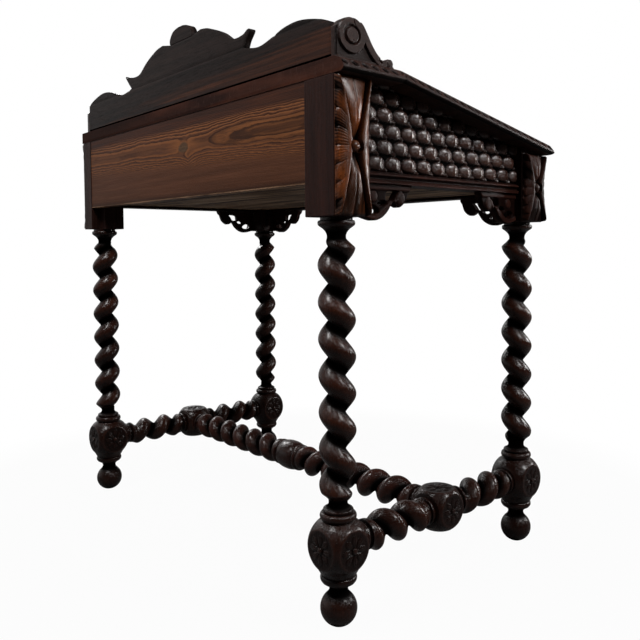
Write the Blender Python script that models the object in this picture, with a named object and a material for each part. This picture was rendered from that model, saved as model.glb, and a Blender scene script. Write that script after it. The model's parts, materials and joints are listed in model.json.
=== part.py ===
"""Slant-lid writing desk on barley-twist legs, built as separate joined pieces.

Metres, +Z up, floor at z = 0. The lid nose faces -Y and the plain back faces +Y.
The origin is on the floor under the middle of the desk.
"""
import math

import bmesh
import bpy
from mathutils import Matrix, Vector
from mathutils.geometry import tessellate_polygon

# Overall sizes
LEG_SPAN_X = 0.806        # leg axis to leg axis, left to right
LEG_SPAN_Y = 0.455        # leg axis to leg axis, front to back
POST_SIDE = 0.065         # square posts at the corners of the case
SIDE_OVERHANG = 0.021     # shelf and lid beyond the posts, each side
FRONT_OVERHANG = 0.0155   # lid nose beyond the front posts
POST_BOTTOM_Z = 0.604
POST_DROP = 0.051         # posts below the rails
BACK_DROP = 0.003         # back panel below the rails
CASE_HEIGHT = 0.1465      # rails' underside to the shelf's underside
TOP_THICK = 0.023         # shelf and lid
SHELF_DEPTH = 0.1255      # flat shelf, from the back to the hinge line
LID_SLOPE = math.radians(10.5)
EDGE_INSET = 0.017        # how far the rounded edge of shelf and lid runs in

# Fits
GAP = 0.0003              # between two pieces that touch
LID_SEAM = 0.0005         # shelf and lid, each side of the hinge line
WING_SETBACK = 0.003      # gallery wing ends behind the hinge line

# Legs
LEG_TURNS = 7.15
CREST_RADIUS = 0.0279
VALLEY_RADIUS = 0.012
NECK_RADIUS = 0.0142
COLLAR_RADIUS = 0.0276
FOOT_RADIUS = 0.0278
BLOCK_RADIUS = 0.046      # ball block, before its flats are cut
MID_RADIUS = 0.0425       # ball block in the middle of a side stretcher
FLAT_CUT = 0.0073         # depth of the flats cut on the ball blocks
STRETCHER_Z = 0.120
TENON_RADIUS = 0.0125
TENON_LENGTH = 0.040
ROD_TENON_RADIUS = 0.009
ROD_TENON_LENGTH = 0.018

# Stretchers
SIDE_TURNS = 2.4          # in each half
CROSS_TURNS = 6           # in each half
ROD_CREST_RADIUS = 0.0283
KNOP_RADIUS = 0.030
KNOP_LENGTH = 0.080

# Case
PANEL_RECESS = 0.018      # panel ground behind the post faces
PANEL_THICK = 0.016
RAIL_HEIGHT = 0.018
RAIL_LIP = 0.012          # ledge of the rail under the bottom boards
LIP_THICK = 0.005
BOTTOM_THICK = 0.012
BACK_THICK = 0.020
BACK_REBATE = 0.025       # the right back post is cut back to take the panel's end
SCALE_COLUMN = 0.0355     # spacing of the carved scales
SCALE_ROW = 0.0245
SCALE_HEIGHT = 0.008
LEAF_HEIGHT = 0.0135      # carved leaves on the posts
BRACKET_WIDTH = 0.107
BRACKET_DROP = 0.057
BRACKET_THICK = 0.014
BRACKET_RECESS = 0.011    # bracket face behind the post faces

# Gallery
GALLERY_HEIGHT = 0.1225
GALLERY_TILT = 0.012      # hand-cut outline, rising a little to the right
GALLERY_THICK = 0.012
GALLERY_INSET = 0.0095    # gallery back behind the shelf's back edge
WING_THICK = 0.015
WING_HEIGHT = 0.0595
CREST_HALF_WIDTH = 0.040
CREST_HEIGHT = 0.026
CREST_SEAT = 0.117        # flat on the gallery's top that carries the crest
CREST_FORWARD = 0.006     # crest in front of the gallery's face

# Hinges
HINGE_LENGTH = 0.062
HINGE_LEAF = 0.028        # axis to the edge of a leaf
HINGE_THICK = 0.002
KNUCKLE_RADIUS = 0.004
PIN_RADIUS = 0.0016
HINGE_INSET = 0.0805      # hinge middle in from the posts' inner faces

# Facets
SIDES = 12                # round a turned piece
RIB_STEPS = 6             # across one rib of a twist

# Derived places
LEG_X = LEG_SPAN_X / 2
BLOCK_FLAT = BLOCK_RADIUS - FLAT_CUT
MID_FLAT = MID_RADIUS - FLAT_CUT
SIDE_FACE = LEG_X + POST_SIDE / 2
POST_INNER_X = LEG_X - POST_SIDE / 2
CASE_BOTTOM_Z = POST_BOTTOM_Z + POST_DROP
BACK_BOTTOM_Z = CASE_BOTTOM_Z - BACK_DROP
SHELF_UNDERSIDE_Z = CASE_BOTTOM_Z + CASE_HEIGHT
BACK_Y = (LEG_SPAN_Y + POST_SIDE + FRONT_OVERHANG) / 2
NOSE_Y = -BACK_Y
BACK_LEG_Y = BACK_Y - POST_SIDE / 2
FRONT_LEG_Y = BACK_LEG_Y - LEG_SPAN_Y
FRONT_FACE = FRONT_LEG_Y - POST_SIDE / 2
BACK_POST_INNER_Y = BACK_LEG_Y - POST_SIDE / 2
FRONT_POST_INNER_Y = FRONT_LEG_Y + POST_SIDE / 2
HINGE_Y = BACK_Y - SHELF_DEPTH
SHELF_TOP_Z = SHELF_UNDERSIDE_Z + TOP_THICK
HALF_TOP = SIDE_FACE + SIDE_OVERHANG
RAIL_TOP_Z = CASE_BOTTOM_Z + RAIL_HEIGHT
PANEL_INNER_X = SIDE_FACE - PANEL_RECESS - PANEL_THICK
PANEL_INNER_Y = FRONT_FACE + PANEL_RECESS + PANEL_THICK
BACK_PANEL_INNER_Y = BACK_Y - BACK_THICK
GALLERY_BACK_Y = BACK_Y - GALLERY_INSET
GALLERY_FRONT_Y = GALLERY_BACK_Y - GALLERY_THICK
WING_LENGTH = GALLERY_BACK_Y - HINGE_Y - WING_SETBACK

FINISHES = {
    "dark oak": ((0.055, 0.028, 0.017, 1), 0.42, 0.0),
    "worn oak": ((0.135, 0.058, 0.026, 1), 0.45, 0.0),
    "pine": ((0.125, 0.055, 0.026, 1), 0.60, 0.0),
    "brass": ((0.42, 0.28, 0.10, 1), 0.40, 1.0),
    "steel": ((0.30, 0.29, 0.28, 1), 0.35, 1.0),
}


def lid_under_z(y):
    """Height of the closed lid's underside at y."""
    return SHELF_TOP_Z - (HINGE_Y - y) * math.tan(LID_SLOPE) - TOP_THICK / math.cos(LID_SLOPE)


def make_material(name, finish):
    colour, roughness, metallic = FINISHES[finish]
    material = bpy.data.materials.new(name)
    material.use_nodes = True
    shader = material.node_tree.nodes["Principled BSDF"]
    shader.inputs["Base Color"].default_value = colour
    shader.inputs["Roughness"].default_value = roughness
    shader.inputs["Metallic"].default_value = metallic
    return material


def add_piece(name, bm, finish, origin=(0, 0, 0)):
    """Close up a mesh and make it one named piece; its mesh is about the origin given."""
    bmesh.ops.remove_doubles(bm, verts=bm.verts, dist=1e-6)
    bmesh.ops.recalc_face_normals(bm, faces=bm.faces)
    mesh = bpy.data.meshes.new(name)
    bm.to_mesh(mesh)
    bm.free()
    mesh.materials.append(make_material(name, finish))
    piece = bpy.data.objects.new(name, mesh)
    piece.location = origin
    bpy.context.collection.objects.link(piece)
    return piece


def combine(piece, tool_mesh, operation):
    """Cut a tool shape out of a piece, or join it on."""
    tool = add_piece(f"{piece.name} tool {len(piece.modifiers)}", tool_mesh, "dark oak", piece.location)
    tool.hide_render = True
    tool.display_type = "WIRE"
    step = piece.modifiers.new(tool.name, "BOOLEAN")
    step.operation = operation
    step.solver = "EXACT"
    step.object = tool


def prism(outline, near, far, place, holes=()):
    """Solid between two copies of an outline; place(u, v, w) gives the point in space."""
    bm = bmesh.new()
    loops = [outline, *holes]
    corners = [Vector((u, v, 0)) for loop in loops for u, v in loop]
    low = [bm.verts.new(place(c.x, c.y, near)) for c in corners]
    high = [bm.verts.new(place(c.x, c.y, far)) for c in corners]
    faces = [range(len(outline))]
    if holes:
        faces = tessellate_polygon([[Vector((u, v, 0)) for u, v in loop] for loop in loops])
    for face in faces:
        bm.faces.new([low[i] for i in face])
        bm.faces.new([high[i] for i in face])
    first = 0
    for loop in loops:
        count = len(loop)
        for i in range(count):
            here = first + i
            after = first + (i + 1) % count
            bm.faces.new((low[here], low[after], high[after], high[here]))
        first += count
    return bm


def box(x0, x1, y0, y1, z0, z1):
    return prism([(x0, y0), (x1, y0), (x1, y1), (x0, y1)], z0, z1, lambda u, v, w: (u, v, w))


def rod(radius, start, end, matrix, sides=SIDES):
    """Plain round bar along the matrix's Z axis."""
    ring = [(radius * math.cos(2 * math.pi * i / sides), radius * math.sin(2 * math.pi * i / sides))
            for i in range(sides)]
    return prism(ring, start, end, lambda u, v, w: matrix @ Vector((u, v, w)))


def smooth_curve(points, steps):
    """Points along a smooth curve through the points given (Catmull-Rom)."""
    curve = []
    last = len(points) - 1
    for i in range(last):
        before = Vector(points[max(i - 1, 0)])
        start = Vector(points[i])
        end = Vector(points[i + 1])
        after = Vector(points[min(i + 2, last)])
        for step in range(steps):
            t = step / steps
            bend = 2 * before - 5 * start + 4 * end - after
            twist = 3 * start - before - 3 * end + after
            curve.append(tuple(start + 0.5 * t * (end - before + t * (bend + t * twist))))
    curve.append(tuple(points[last]))
    return curve


# Turned pieces

def ring_radius(radius, angle):
    return radius(angle) if callable(radius) else radius


def ball_with_flats(radius, flat):
    """Radius round one level of a ball block whose four sides are cut flat."""
    def at(angle):
        across = max(abs(math.cos(angle)), abs(math.sin(angle)))
        return min(radius, flat / across)
    return at


def block_rings(middle, ball, flat):
    """Levels of a ball block: the flats begin where the ball is as wide as the flats."""
    reach = math.sqrt(ball ** 2 - flat ** 2)
    levels = []
    for offset in (-reach * 1.32, -reach, -reach / 2, 0, reach / 2, reach, reach * 1.32):
        radius = math.sqrt(ball ** 2 - offset ** 2)
        levels.append((middle + offset, ball_with_flats(radius, flat)))
    return levels


def add_levels(bm, levels):
    """Skin through level rings, each a height and a radius."""
    rings = []
    for height, radius in levels:
        ring = []
        for side in range(SIDES):
            angle = 2 * math.pi * side / SIDES
            reach = ring_radius(radius, angle)
            ring.append(bm.verts.new((reach * math.cos(angle), reach * math.sin(angle), height)))
        rings.append(ring)
    for lower, upper in zip(rings, rings[1:]):
        for side in range(SIDES):
            after = (side + 1) % SIDES
            bm.faces.new((lower[side], lower[after], upper[after], upper[side]))
    return rings


def add_twist(bm, start, end, turns, hand, phase, crest):
    """Skin of a one-rib twist, its rows following the rib, closing to level necks.

    The rib's crest passes angle 0 at the middle of the length, moved up by phase pitches.
    """
    pitch = (end - start) / turns
    valley = (start + end) / 2 + (phase - 0.5) * pitch
    base = valley - math.ceil((valley - start) / pitch + 1) * pitch
    rows = math.ceil((end - base) / pitch * RIB_STEPS) + 1
    grid = []
    for row in range(rows):
        across = 2 * (row % RIB_STEPS) / RIB_STEPS - 1
        rib = VALLEY_RADIUS + (crest - VALLEY_RADIUS) * (1 - across ** 2) ** 0.68
        verts = []
        for column in range(SIDES):
            height = base + pitch * (row / RIB_STEPS + column / SIDES)
            height = min(max(height, start), end)
            fade = min(1, min(height - start, end - height) / (0.25 * pitch))
            radius = NECK_RADIUS + (rib - NECK_RADIUS) * fade
            angle = hand * 2 * math.pi * column / SIDES
            verts.append(bm.verts.new((radius * math.cos(angle), radius * math.sin(angle), height)))
        grid.append(verts)

    def vert(row, column):
        if column == SIDES:
            row += RIB_STEPS
        return grid[min(max(row, 0), rows - 1)][column % SIDES]

    for row in range(-RIB_STEPS, rows):
        for column in range(SIDES):
            corners = [vert(row, column), vert(row, column + 1),
                       vert(row + 1, column + 1), vert(row + 1, column)]
            corners = list(dict.fromkeys(corners))
            places = {tuple(round(value, 7) for value in corner.co) for corner in corners}
            if len(places) > 2:
                bm.faces.new(corners)


def turned_piece(name, sections, matrix, finish):
    """Turning along the matrix's Z axis; a section is a list of levels or a twist's settings."""
    bm = bmesh.new()
    ends = []
    for section in sections:
        if isinstance(section, dict):
            add_twist(bm, **section)
        else:
            rings = add_levels(bm, section)
            ends = [ends[0] if ends else rings[0], rings[-1]]
    for ring in ends:
        bm.faces.new(ring)
    bmesh.ops.remove_doubles(bm, verts=bm.verts, dist=1e-6)
    bmesh.ops.transform(bm, matrix=matrix, verts=bm.verts)
    return add_piece(name, bm, finish)


def leg(name, x, y, hand, phase, socket_side):
    """Leg from the floor to its tenon in the post; socket_side is +1 or -1 along Y."""
    block_low = STRETCHER_Z - BLOCK_RADIUS
    block_high = STRETCHER_Z + BLOCK_RADIUS
    foot_top = block_low * 0.72
    foot_tall = foot_top * 0.515
    foot_middle = foot_tall * math.sin(math.radians(66))
    foot = []
    for degrees in (-66, -38, -10, 20, 48):
        angle = math.radians(degrees)
        foot.append((foot_middle + foot_tall * math.sin(angle), FOOT_RADIUS * math.cos(angle)))
    lower = foot + [
        (foot_top, NECK_RADIUS),
        (block_low * 0.93, COLLAR_RADIUS * 0.97),
        (block_low * 1.01, COLLAR_RADIUS),
    ]
    lower += block_rings(STRETCHER_Z, BLOCK_RADIUS, BLOCK_FLAT)
    twist_start = block_high + 0.020
    twist_end = POST_BOTTOM_Z - 0.031
    lower += [
        (block_high - 0.0065, COLLAR_RADIUS * 0.86),
        (block_high - 0.002, COLLAR_RADIUS),
        (block_high + 0.003, COLLAR_RADIUS * 0.96),
        (block_high + 0.012, NECK_RADIUS),
        (twist_start, NECK_RADIUS),
    ]
    twist = {"start": twist_start, "end": twist_end, "turns": LEG_TURNS, "hand": hand,
             "phase": phase, "crest": CREST_RADIUS}
    upper = [
        (twist_end, NECK_RADIUS),
        (POST_BOTTOM_Z - 0.026, NECK_RADIUS),
        (POST_BOTTOM_Z - 0.017, COLLAR_RADIUS * 0.72),
        (POST_BOTTOM_Z - 0.012, COLLAR_RADIUS * 0.98),
        (POST_BOTTOM_Z - 0.005, COLLAR_RADIUS),
        (POST_BOTTOM_Z - 0.0045, COLLAR_RADIUS * 0.866),
        (POST_BOTTOM_Z - GAP, COLLAR_RADIUS * 0.866),
        (POST_BOTTOM_Z - GAP, TENON_RADIUS),
        (POST_BOTTOM_Z + TENON_LENGTH, TENON_RADIUS),
    ]
    piece = turned_piece(name, [lower, twist, upper], Matrix.Translation((x, y, 0)), "dark oak")
    facing = Matrix.Translation((x, y, STRETCHER_Z)) @ Matrix.Rotation(-socket_side * math.pi / 2, 4, "X")
    socket = rod(ROD_TENON_RADIUS + GAP, BLOCK_FLAT - ROD_TENON_LENGTH - GAP, BLOCK_RADIUS, facing)
    combine(piece, socket, "DIFFERENCE")


def rod_end(flat, outward):
    """Tenon, ring and neck where a stretcher meets a block; flat is the block's face."""
    face = flat - outward * GAP
    levels = [
        (face + outward * ROD_TENON_LENGTH, ROD_TENON_RADIUS),
        (face, ROD_TENON_RADIUS),
        (face, COLLAR_RADIUS * 0.83),
        (face - outward * 0.009, COLLAR_RADIUS * 0.80),
        (face - outward * 0.016, NECK_RADIUS),
    ]
    return levels


def side_stretcher(name, x, front_twist, back_twist):
    """Stretcher from front leg to back leg, with a ball block in the middle.

    Each half's twist is given by its hand and phase.
    """
    flat = LEG_SPAN_Y / 2 - BLOCK_FLAT
    near = rod_end(-flat, -1)
    far = rod_end(flat, 1)
    reach = math.sqrt(MID_RADIUS ** 2 - MID_FLAT ** 2) * 1.32
    middle = [(-reach - 0.016, NECK_RADIUS), (-reach - 0.007, COLLAR_RADIUS * 0.83),
              (-reach - 0.001, COLLAR_RADIUS * 0.83)]
    middle += block_rings(0, MID_RADIUS, MID_FLAT)
    middle += [(-height, radius) for height, radius in reversed(middle[:3])]
    near_twist = {"start": near[-1][0], "end": middle[0][0], "turns": SIDE_TURNS,
                  "hand": front_twist[0], "phase": front_twist[1], "crest": ROD_CREST_RADIUS}
    far_twist = dict(near_twist, start=middle[-1][0], end=far[-1][0],
                     hand=back_twist[0], phase=back_twist[1])
    along = (Matrix.Translation((x, (BACK_LEG_Y + FRONT_LEG_Y) / 2, STRETCHER_Z))
             @ Matrix.Rotation(-math.pi / 2, 4, "X"))
    piece = turned_piece(name, [near, near_twist, middle, far_twist, far[::-1]], along, "dark oak")
    inward = -math.copysign(1, x)
    facing = (Matrix.Translation((x, (BACK_LEG_Y + FRONT_LEG_Y) / 2, STRETCHER_Z))
              @ Matrix.Rotation(inward * math.pi / 2, 4, "Y"))
    socket = rod(ROD_TENON_RADIUS + GAP, MID_FLAT - ROD_TENON_LENGTH - GAP, MID_RADIUS, facing)
    combine(piece, socket, "DIFFERENCE")


def cross_stretcher(name):
    """Stretcher between the two side stretchers, with a turned knop in the middle."""
    flat = LEG_X - MID_FLAT
    near = rod_end(-flat, -1)
    far = rod_end(flat, 1)
    half = KNOP_LENGTH / 2
    knop = [(-half, NECK_RADIUS), (-half * 0.88, KNOP_RADIUS * 0.85), (-half * 0.68, KNOP_RADIUS * 0.88),
            (-half * 0.62, KNOP_RADIUS * 0.75), (-half * 0.3, KNOP_RADIUS * 0.97), (0, KNOP_RADIUS)]
    knop += [(-height, radius) for height, radius in reversed(knop[:-1])]
    near_twist = {"start": near[-1][0], "end": -half, "turns": CROSS_TURNS, "hand": -1,
                  "phase": 0.4, "crest": ROD_CREST_RADIUS}
    far_twist = dict(near_twist, start=half, end=far[-1][0], hand=1)
    along = (Matrix.Translation((0, (BACK_LEG_Y + FRONT_LEG_Y) / 2, STRETCHER_Z))
             @ Matrix.Rotation(math.pi / 2, 4, "Y"))
    turned_piece(name, [near, near_twist, knop, far_twist, far[::-1]], along, "dark oak")


# Case

def post(name, x, y, rebated):
    """Square corner post, its top under the shelf or the sloping lid, its foot bored for the leg.

    A rebated post has its inner back edge cut away for the end of the back panel.
    """
    half = POST_SIDE / 2

    def top(v):
        return min(SHELF_UNDERSIDE_Z, lid_under_z(v)) - GAP

    outline = [(x - half, y - half), (x + half, y - half), (x + half, y + half), (x - half, y + half)]
    if rebated:
        inner = x - half + BACK_REBATE
        outline[3:] = [(inner, y + half), (inner, BACK_PANEL_INNER_Y), (x - half, BACK_PANEL_INNER_Y)]
    bm = prism(outline, 0, 1, lambda u, v, w: (u, v, top(v) if w else POST_BOTTOM_Z))
    piece = add_piece(name, bm, "dark oak")
    bore = rod(TENON_RADIUS + GAP, POST_BOTTOM_Z - 0.01, POST_BOTTOM_Z + TENON_LENGTH + GAP,
               Matrix.Translation((x, y, 0)))
    combine(piece, bore, "DIFFERENCE")


def post_leaf(name, width, bottom, top, place):
    """Carved four-leaf face on a post; place(u, v, w) has w outward from the post's face."""
    bm = bmesh.new()
    half = width / 2 - 0.001
    tall = (top - bottom) / 2 - 0.001
    middle = (top + bottom) / 2
    spokes = 16
    rings = []
    for share, rib, hollow in ((1, 0, 0), (1, 0.35, 0.2), (0.8, 0.95, 0.3), (0.3, 0.75, 0.35), (0.16, 1, 1)):
        ring = []
        for spoke in range(spokes):
            angle = 2 * math.pi * spoke / spokes
            reach = 1 / max(abs(math.cos(angle)), abs(math.sin(angle)))
            leaf = math.cos(2 * angle) ** 2
            height = LEAF_HEIGHT * (hollow + (rib - hollow) * leaf)
            u = share * reach * math.cos(angle) * half
            v = middle + share * reach * math.sin(angle) * tall
            if share < 0.2:
                u = share * math.cos(angle) * half
                v = middle + share * math.sin(angle) * half
            ring.append(bm.verts.new(place(u, v, GAP + height)))
        rings.append(ring)
    for lower, upper in zip(rings, rings[1:]):
        for spoke in range(spokes):
            after = (spoke + 1) % spokes
            bm.faces.new((lower[spoke], lower[after], upper[after], upper[spoke]))
    bm.faces.new(rings[0])
    bm.faces.new(rings[-1])
    add_piece(name, bm, "worn oak")


def scale_panel(name, low, high, limits, place):
    """Board carved with staggered ridged scales, u from low to high, cut by limit planes.

    place(u, v, w) has w outward from the ground of the carving, v up from the rail.
    """
    bm = bmesh.new()
    spread = high - low
    columns = math.ceil(spread / SCALE_COLUMN) + 2
    rows = math.ceil((SHELF_UNDERSIDE_Z - RAIL_TOP_Z) / SCALE_ROW) + 1
    for row in range(-1, rows):
        for column in range(-columns // 2, columns // 2 + 1):
            u = (low + high) / 2 + (column + 0.5 * (row % 2 == 0)) * SCALE_COLUMN
            v = (row + 0.5) * SCALE_ROW
            side = SCALE_COLUMN / 2
            rim = [(0, SCALE_ROW * 2 / 3), (-side, SCALE_ROW / 3), (-side, -SCALE_ROW / 3),
                   (0, -SCALE_ROW * 2 / 3), (side, -SCALE_ROW / 3), (side, SCALE_ROW / 3)]
            edge = [bm.verts.new((u + du, v + dv, 0)) for du, dv in rim]
            upper = bm.verts.new((u, v + SCALE_ROW * 0.22, SCALE_HEIGHT))
            lower = bm.verts.new((u, v - SCALE_ROW * 0.28, SCALE_HEIGHT))
            for corners in ((edge[0], edge[1], upper), (edge[1], edge[2], lower), (edge[1], lower, upper),
                            (edge[2], edge[3], lower), (edge[3], edge[4], lower),
                            (edge[4], edge[5], upper), (edge[4], upper, lower), (edge[5], edge[0], upper)):
                bm.faces.new(corners)
    bmesh.ops.remove_doubles(bm, verts=bm.verts, dist=1e-6)
    for point, normal in [((low, 0, 0), (-1, 0, 0)), ((high, 0, 0), (1, 0, 0)), ((0, GAP, 0), (0, -1, 0)),
                          *limits]:
        everything = bm.verts[:] + bm.edges[:] + bm.faces[:]
        bmesh.ops.bisect_plane(bm, geom=everything, dist=1e-6, plane_co=point, plane_no=normal,
                               clear_outer=True)
    border = [edge for edge in bm.edges if edge.is_boundary]
    walls = bmesh.ops.extrude_edge_only(bm, edges=border)["geom"]
    for vert in [item for item in walls if isinstance(item, bmesh.types.BMVert)]:
        vert.co.z = -PANEL_THICK
    bmesh.ops.contextual_create(bm, geom=[edge for edge in bm.edges if edge.is_boundary])
    for vert in bm.verts:
        vert.co = place(*vert.co)
    add_piece(name, bm, "dark oak")


def moulded_rail(name, low, high, place):
    """Bottom rail with a moulded face and a ledge inside; place(u, o, v) has o from the post face."""
    inner = -PANEL_RECESS - PANEL_THICK
    top = RAIL_HEIGHT - GAP
    outline = [(inner - RAIL_LIP, 0), (-0.006, 0), (-0.006, top * 0.26), (-0.010, top * 0.36),
               (-0.010, top * 0.54), (-0.0055, top * 0.62), (-0.0055, top * 0.76), (-0.012, top),
               (inner, top), (inner, LIP_THICK), (inner - RAIL_LIP, LIP_THICK)]
    add_piece(name, prism(outline, low, high, lambda o, v, u: place(u, o, v)), "dark oak")


def bottom_boards():
    """Three boards under the well, the outer two notched round the posts."""
    wide = PANEL_INNER_X - GAP
    narrow = POST_INNER_X - GAP
    front = PANEL_INNER_Y + GAP
    back = BACK_PANEL_INNER_Y - GAP
    front_seam = front + (back - front) * 0.36
    back_seam = front + (back - front) * 0.68
    low = CASE_BOTTOM_Z + LIP_THICK + GAP
    notch_front = FRONT_POST_INNER_Y + GAP
    notch_back = BACK_POST_INNER_Y - GAP
    outlines = {
        "bottom_board_front": [(-narrow, front), (narrow, front), (narrow, notch_front), (wide, notch_front),
                               (wide, front_seam - GAP), (-wide, front_seam - GAP),
                               (-wide, notch_front), (-narrow, notch_front)],
        "bottom_board_middle": [(-wide, front_seam), (wide, front_seam),
                                (wide, back_seam - GAP), (-wide, back_seam - GAP)],
        "bottom_board_back": [(-wide, back_seam), (wide, back_seam), (wide, notch_back), (narrow, notch_back),
                              (narrow, back), (-narrow, back), (-narrow, notch_back), (-wide, notch_back)],
    }
    for name, outline in outlines.items():
        add_piece(name, prism(outline, low, low + BOTTOM_THICK, lambda u, v, w: (u, v, w)), "pine")


def bracket(name, place):
    """Pierced bracket; place(d, drop, w) has d along the rail from the post, w inward."""
    across = BRACKET_WIDTH
    down = BRACKET_DROP
    lower_edge = smooth_curve([(0.955, 0.20), (0.90, 0.44), (0.78, 0.62), (0.68, 0.55), (0.615, 0.49),
                               (0.50, 0.66), (0.33, 0.96), (0.25, 1.0), (0.12, 0.92), (0, 0.87)], 2)
    outline = [(GAP, GAP), (across, GAP), (across, 0.08 * down)]
    outline += [(GAP + u * (across - GAP), v * down) for u, v in lower_edge]
    upper_hole = [(0.33, 0.19), (0.66, 0.19), (0.55, 0.38), (0.44, 0.46), (0.37, 0.40)]
    lower_hole = [(0.17, 0.70), (0.24, 0.58), (0.29, 0.66), (0.25, 0.80)]
    holes = [[(u * across, v * down) for u, v in hole] for hole in (upper_hole, lower_hole)]
    add_piece(name, prism(outline, 0, BRACKET_THICK, place, holes), "dark oak")


# Top

def edged_slab(front, back, front_inset):
    """Slab of the top's width with rounded ends; back(height) and front give its depth."""
    bm = bmesh.new()
    rings = []
    for inset, share in ((0.12, 0), (0, 0.12), (0, 0.34), (0.24, 0.61), (0.54, 0.82), (1, 1)):
        side = HALF_TOP - inset * EDGE_INSET
        near = front + front_inset * inset * EDGE_INSET
        height = (share - 1) * TOP_THICK
        far = back(height)
        rings.append([bm.verts.new((x, y, height))
                      for x, y in ((-side, near), (side, near), (side, far), (-side, far))])
    for lower, upper in zip(rings, rings[1:]):
        for i in range(4):
            after = (i + 1) % 4
            bm.faces.new((lower[i], lower[after], upper[after], upper[i]))
    bm.faces.new(rings[0])
    bm.faces.new(rings[-1])
    return bm


def hinge_pocket(x, matrix):
    """Recess for one leaf and half the knuckle; the leaf lies along the matrix's +Y."""
    knuckle = KNUCKLE_RADIUS + 2 * GAP
    outline = [(-KNUCKLE_RADIUS, 0.001), (HINGE_LEAF + GAP, 0.001), (HINGE_LEAF + GAP, -HINGE_THICK - GAP),
               (knuckle, -HINGE_THICK - GAP), (knuckle, -knuckle), (-KNUCKLE_RADIUS, -knuckle)]
    half = HINGE_LENGTH / 2 + GAP
    return prism(outline, x - half, x + half, lambda u, v, w: matrix @ Vector((w, u, v)))


def hinge_leaf(name, x, matrix, moving):
    """Leaf with its barrels round the pin; the fixed leaf has the two outer barrels."""
    third = HINGE_LENGTH / 3
    half = HINGE_LENGTH / 2
    clear = KNUCKLE_RADIUS + GAP
    root = KNUCKLE_RADIUS / 2
    side = half - GAP
    if moving:
        barrels = [(-third / 2 + GAP, third / 2 - GAP)]
        tab = third / 2 - 2 * GAP
        outline = [(-side, clear), (-side, HINGE_LEAF), (side, HINGE_LEAF), (side, clear),
                   (tab, clear), (tab, root), (-tab, root), (-tab, clear)]
    else:
        barrels = [(-half, -third / 2), (third / 2, half)]
        tab = third / 2 + GAP
        outline = [(-side, root), (-side, HINGE_LEAF), (side, HINGE_LEAF), (side, root),
                   (tab, root), (tab, clear), (-tab, clear), (-tab, root)]
    plate = prism(outline, -HINGE_THICK, 0, lambda u, v, w: matrix @ Vector((x + u, v, w)))
    piece = add_piece(name, plate, "brass", (0, HINGE_Y, SHELF_TOP_Z))
    lengthwise = matrix @ Matrix.Rotation(math.pi / 2, 4, "Y")
    for low, high in barrels:
        combine(piece, rod(KNUCKLE_RADIUS, x + low, x + high, lengthwise), "UNION")
    bore = rod(PIN_RADIUS + GAP, x - HINGE_LENGTH, x + HINGE_LENGTH, lengthwise)
    combine(piece, bore, "DIFFERENCE")


def shelf_lid_and_hinges():
    """Flat shelf, sloping lid and the two hinges between them, about the hinge line."""
    axis = (0, HINGE_Y, SHELF_TOP_Z)
    on_shelf = Matrix.Identity(4)
    on_lid = Matrix.Rotation(LID_SLOPE, 4, "X") @ Matrix.Scale(-1, 4, (0, 1, 0))
    shelf = add_piece("top_shelf", edged_slab(LID_SEAM, lambda height: SHELF_DEPTH, 0), "dark oak", axis)
    nose = (NOSE_Y - HINGE_Y) / math.cos(LID_SLOPE) + TOP_THICK * 0.85 * math.tan(LID_SLOPE)
    slab = edged_slab(nose, lambda height: height * math.tan(LID_SLOPE) - LID_SEAM, 1)
    bmesh.ops.rotate(slab, verts=slab.verts, matrix=Matrix.Rotation(LID_SLOPE, 3, "X"))
    lid = add_piece("lid", slab, "dark oak", axis)
    spread = POST_INNER_X - HINGE_INSET
    for side, x in (("left", -spread), ("right", spread)):
        combine(shelf, hinge_pocket(x, on_shelf), "DIFFERENCE")
        combine(lid, hinge_pocket(x, on_lid), "DIFFERENCE")
        hinge_leaf(f"hinge_fixed_leaf_{side}", x, on_shelf, False)
        hinge_leaf(f"hinge_moving_leaf_{side}", x, on_lid, True)
        lengthwise = Matrix.Rotation(math.pi / 2, 4, "Y")
        pin = rod(PIN_RADIUS, x - HINGE_LENGTH / 2, x + HINGE_LENGTH / 2, lengthwise)
        add_piece(f"hinge_pin_{side}", pin, "steel", axis)


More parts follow.
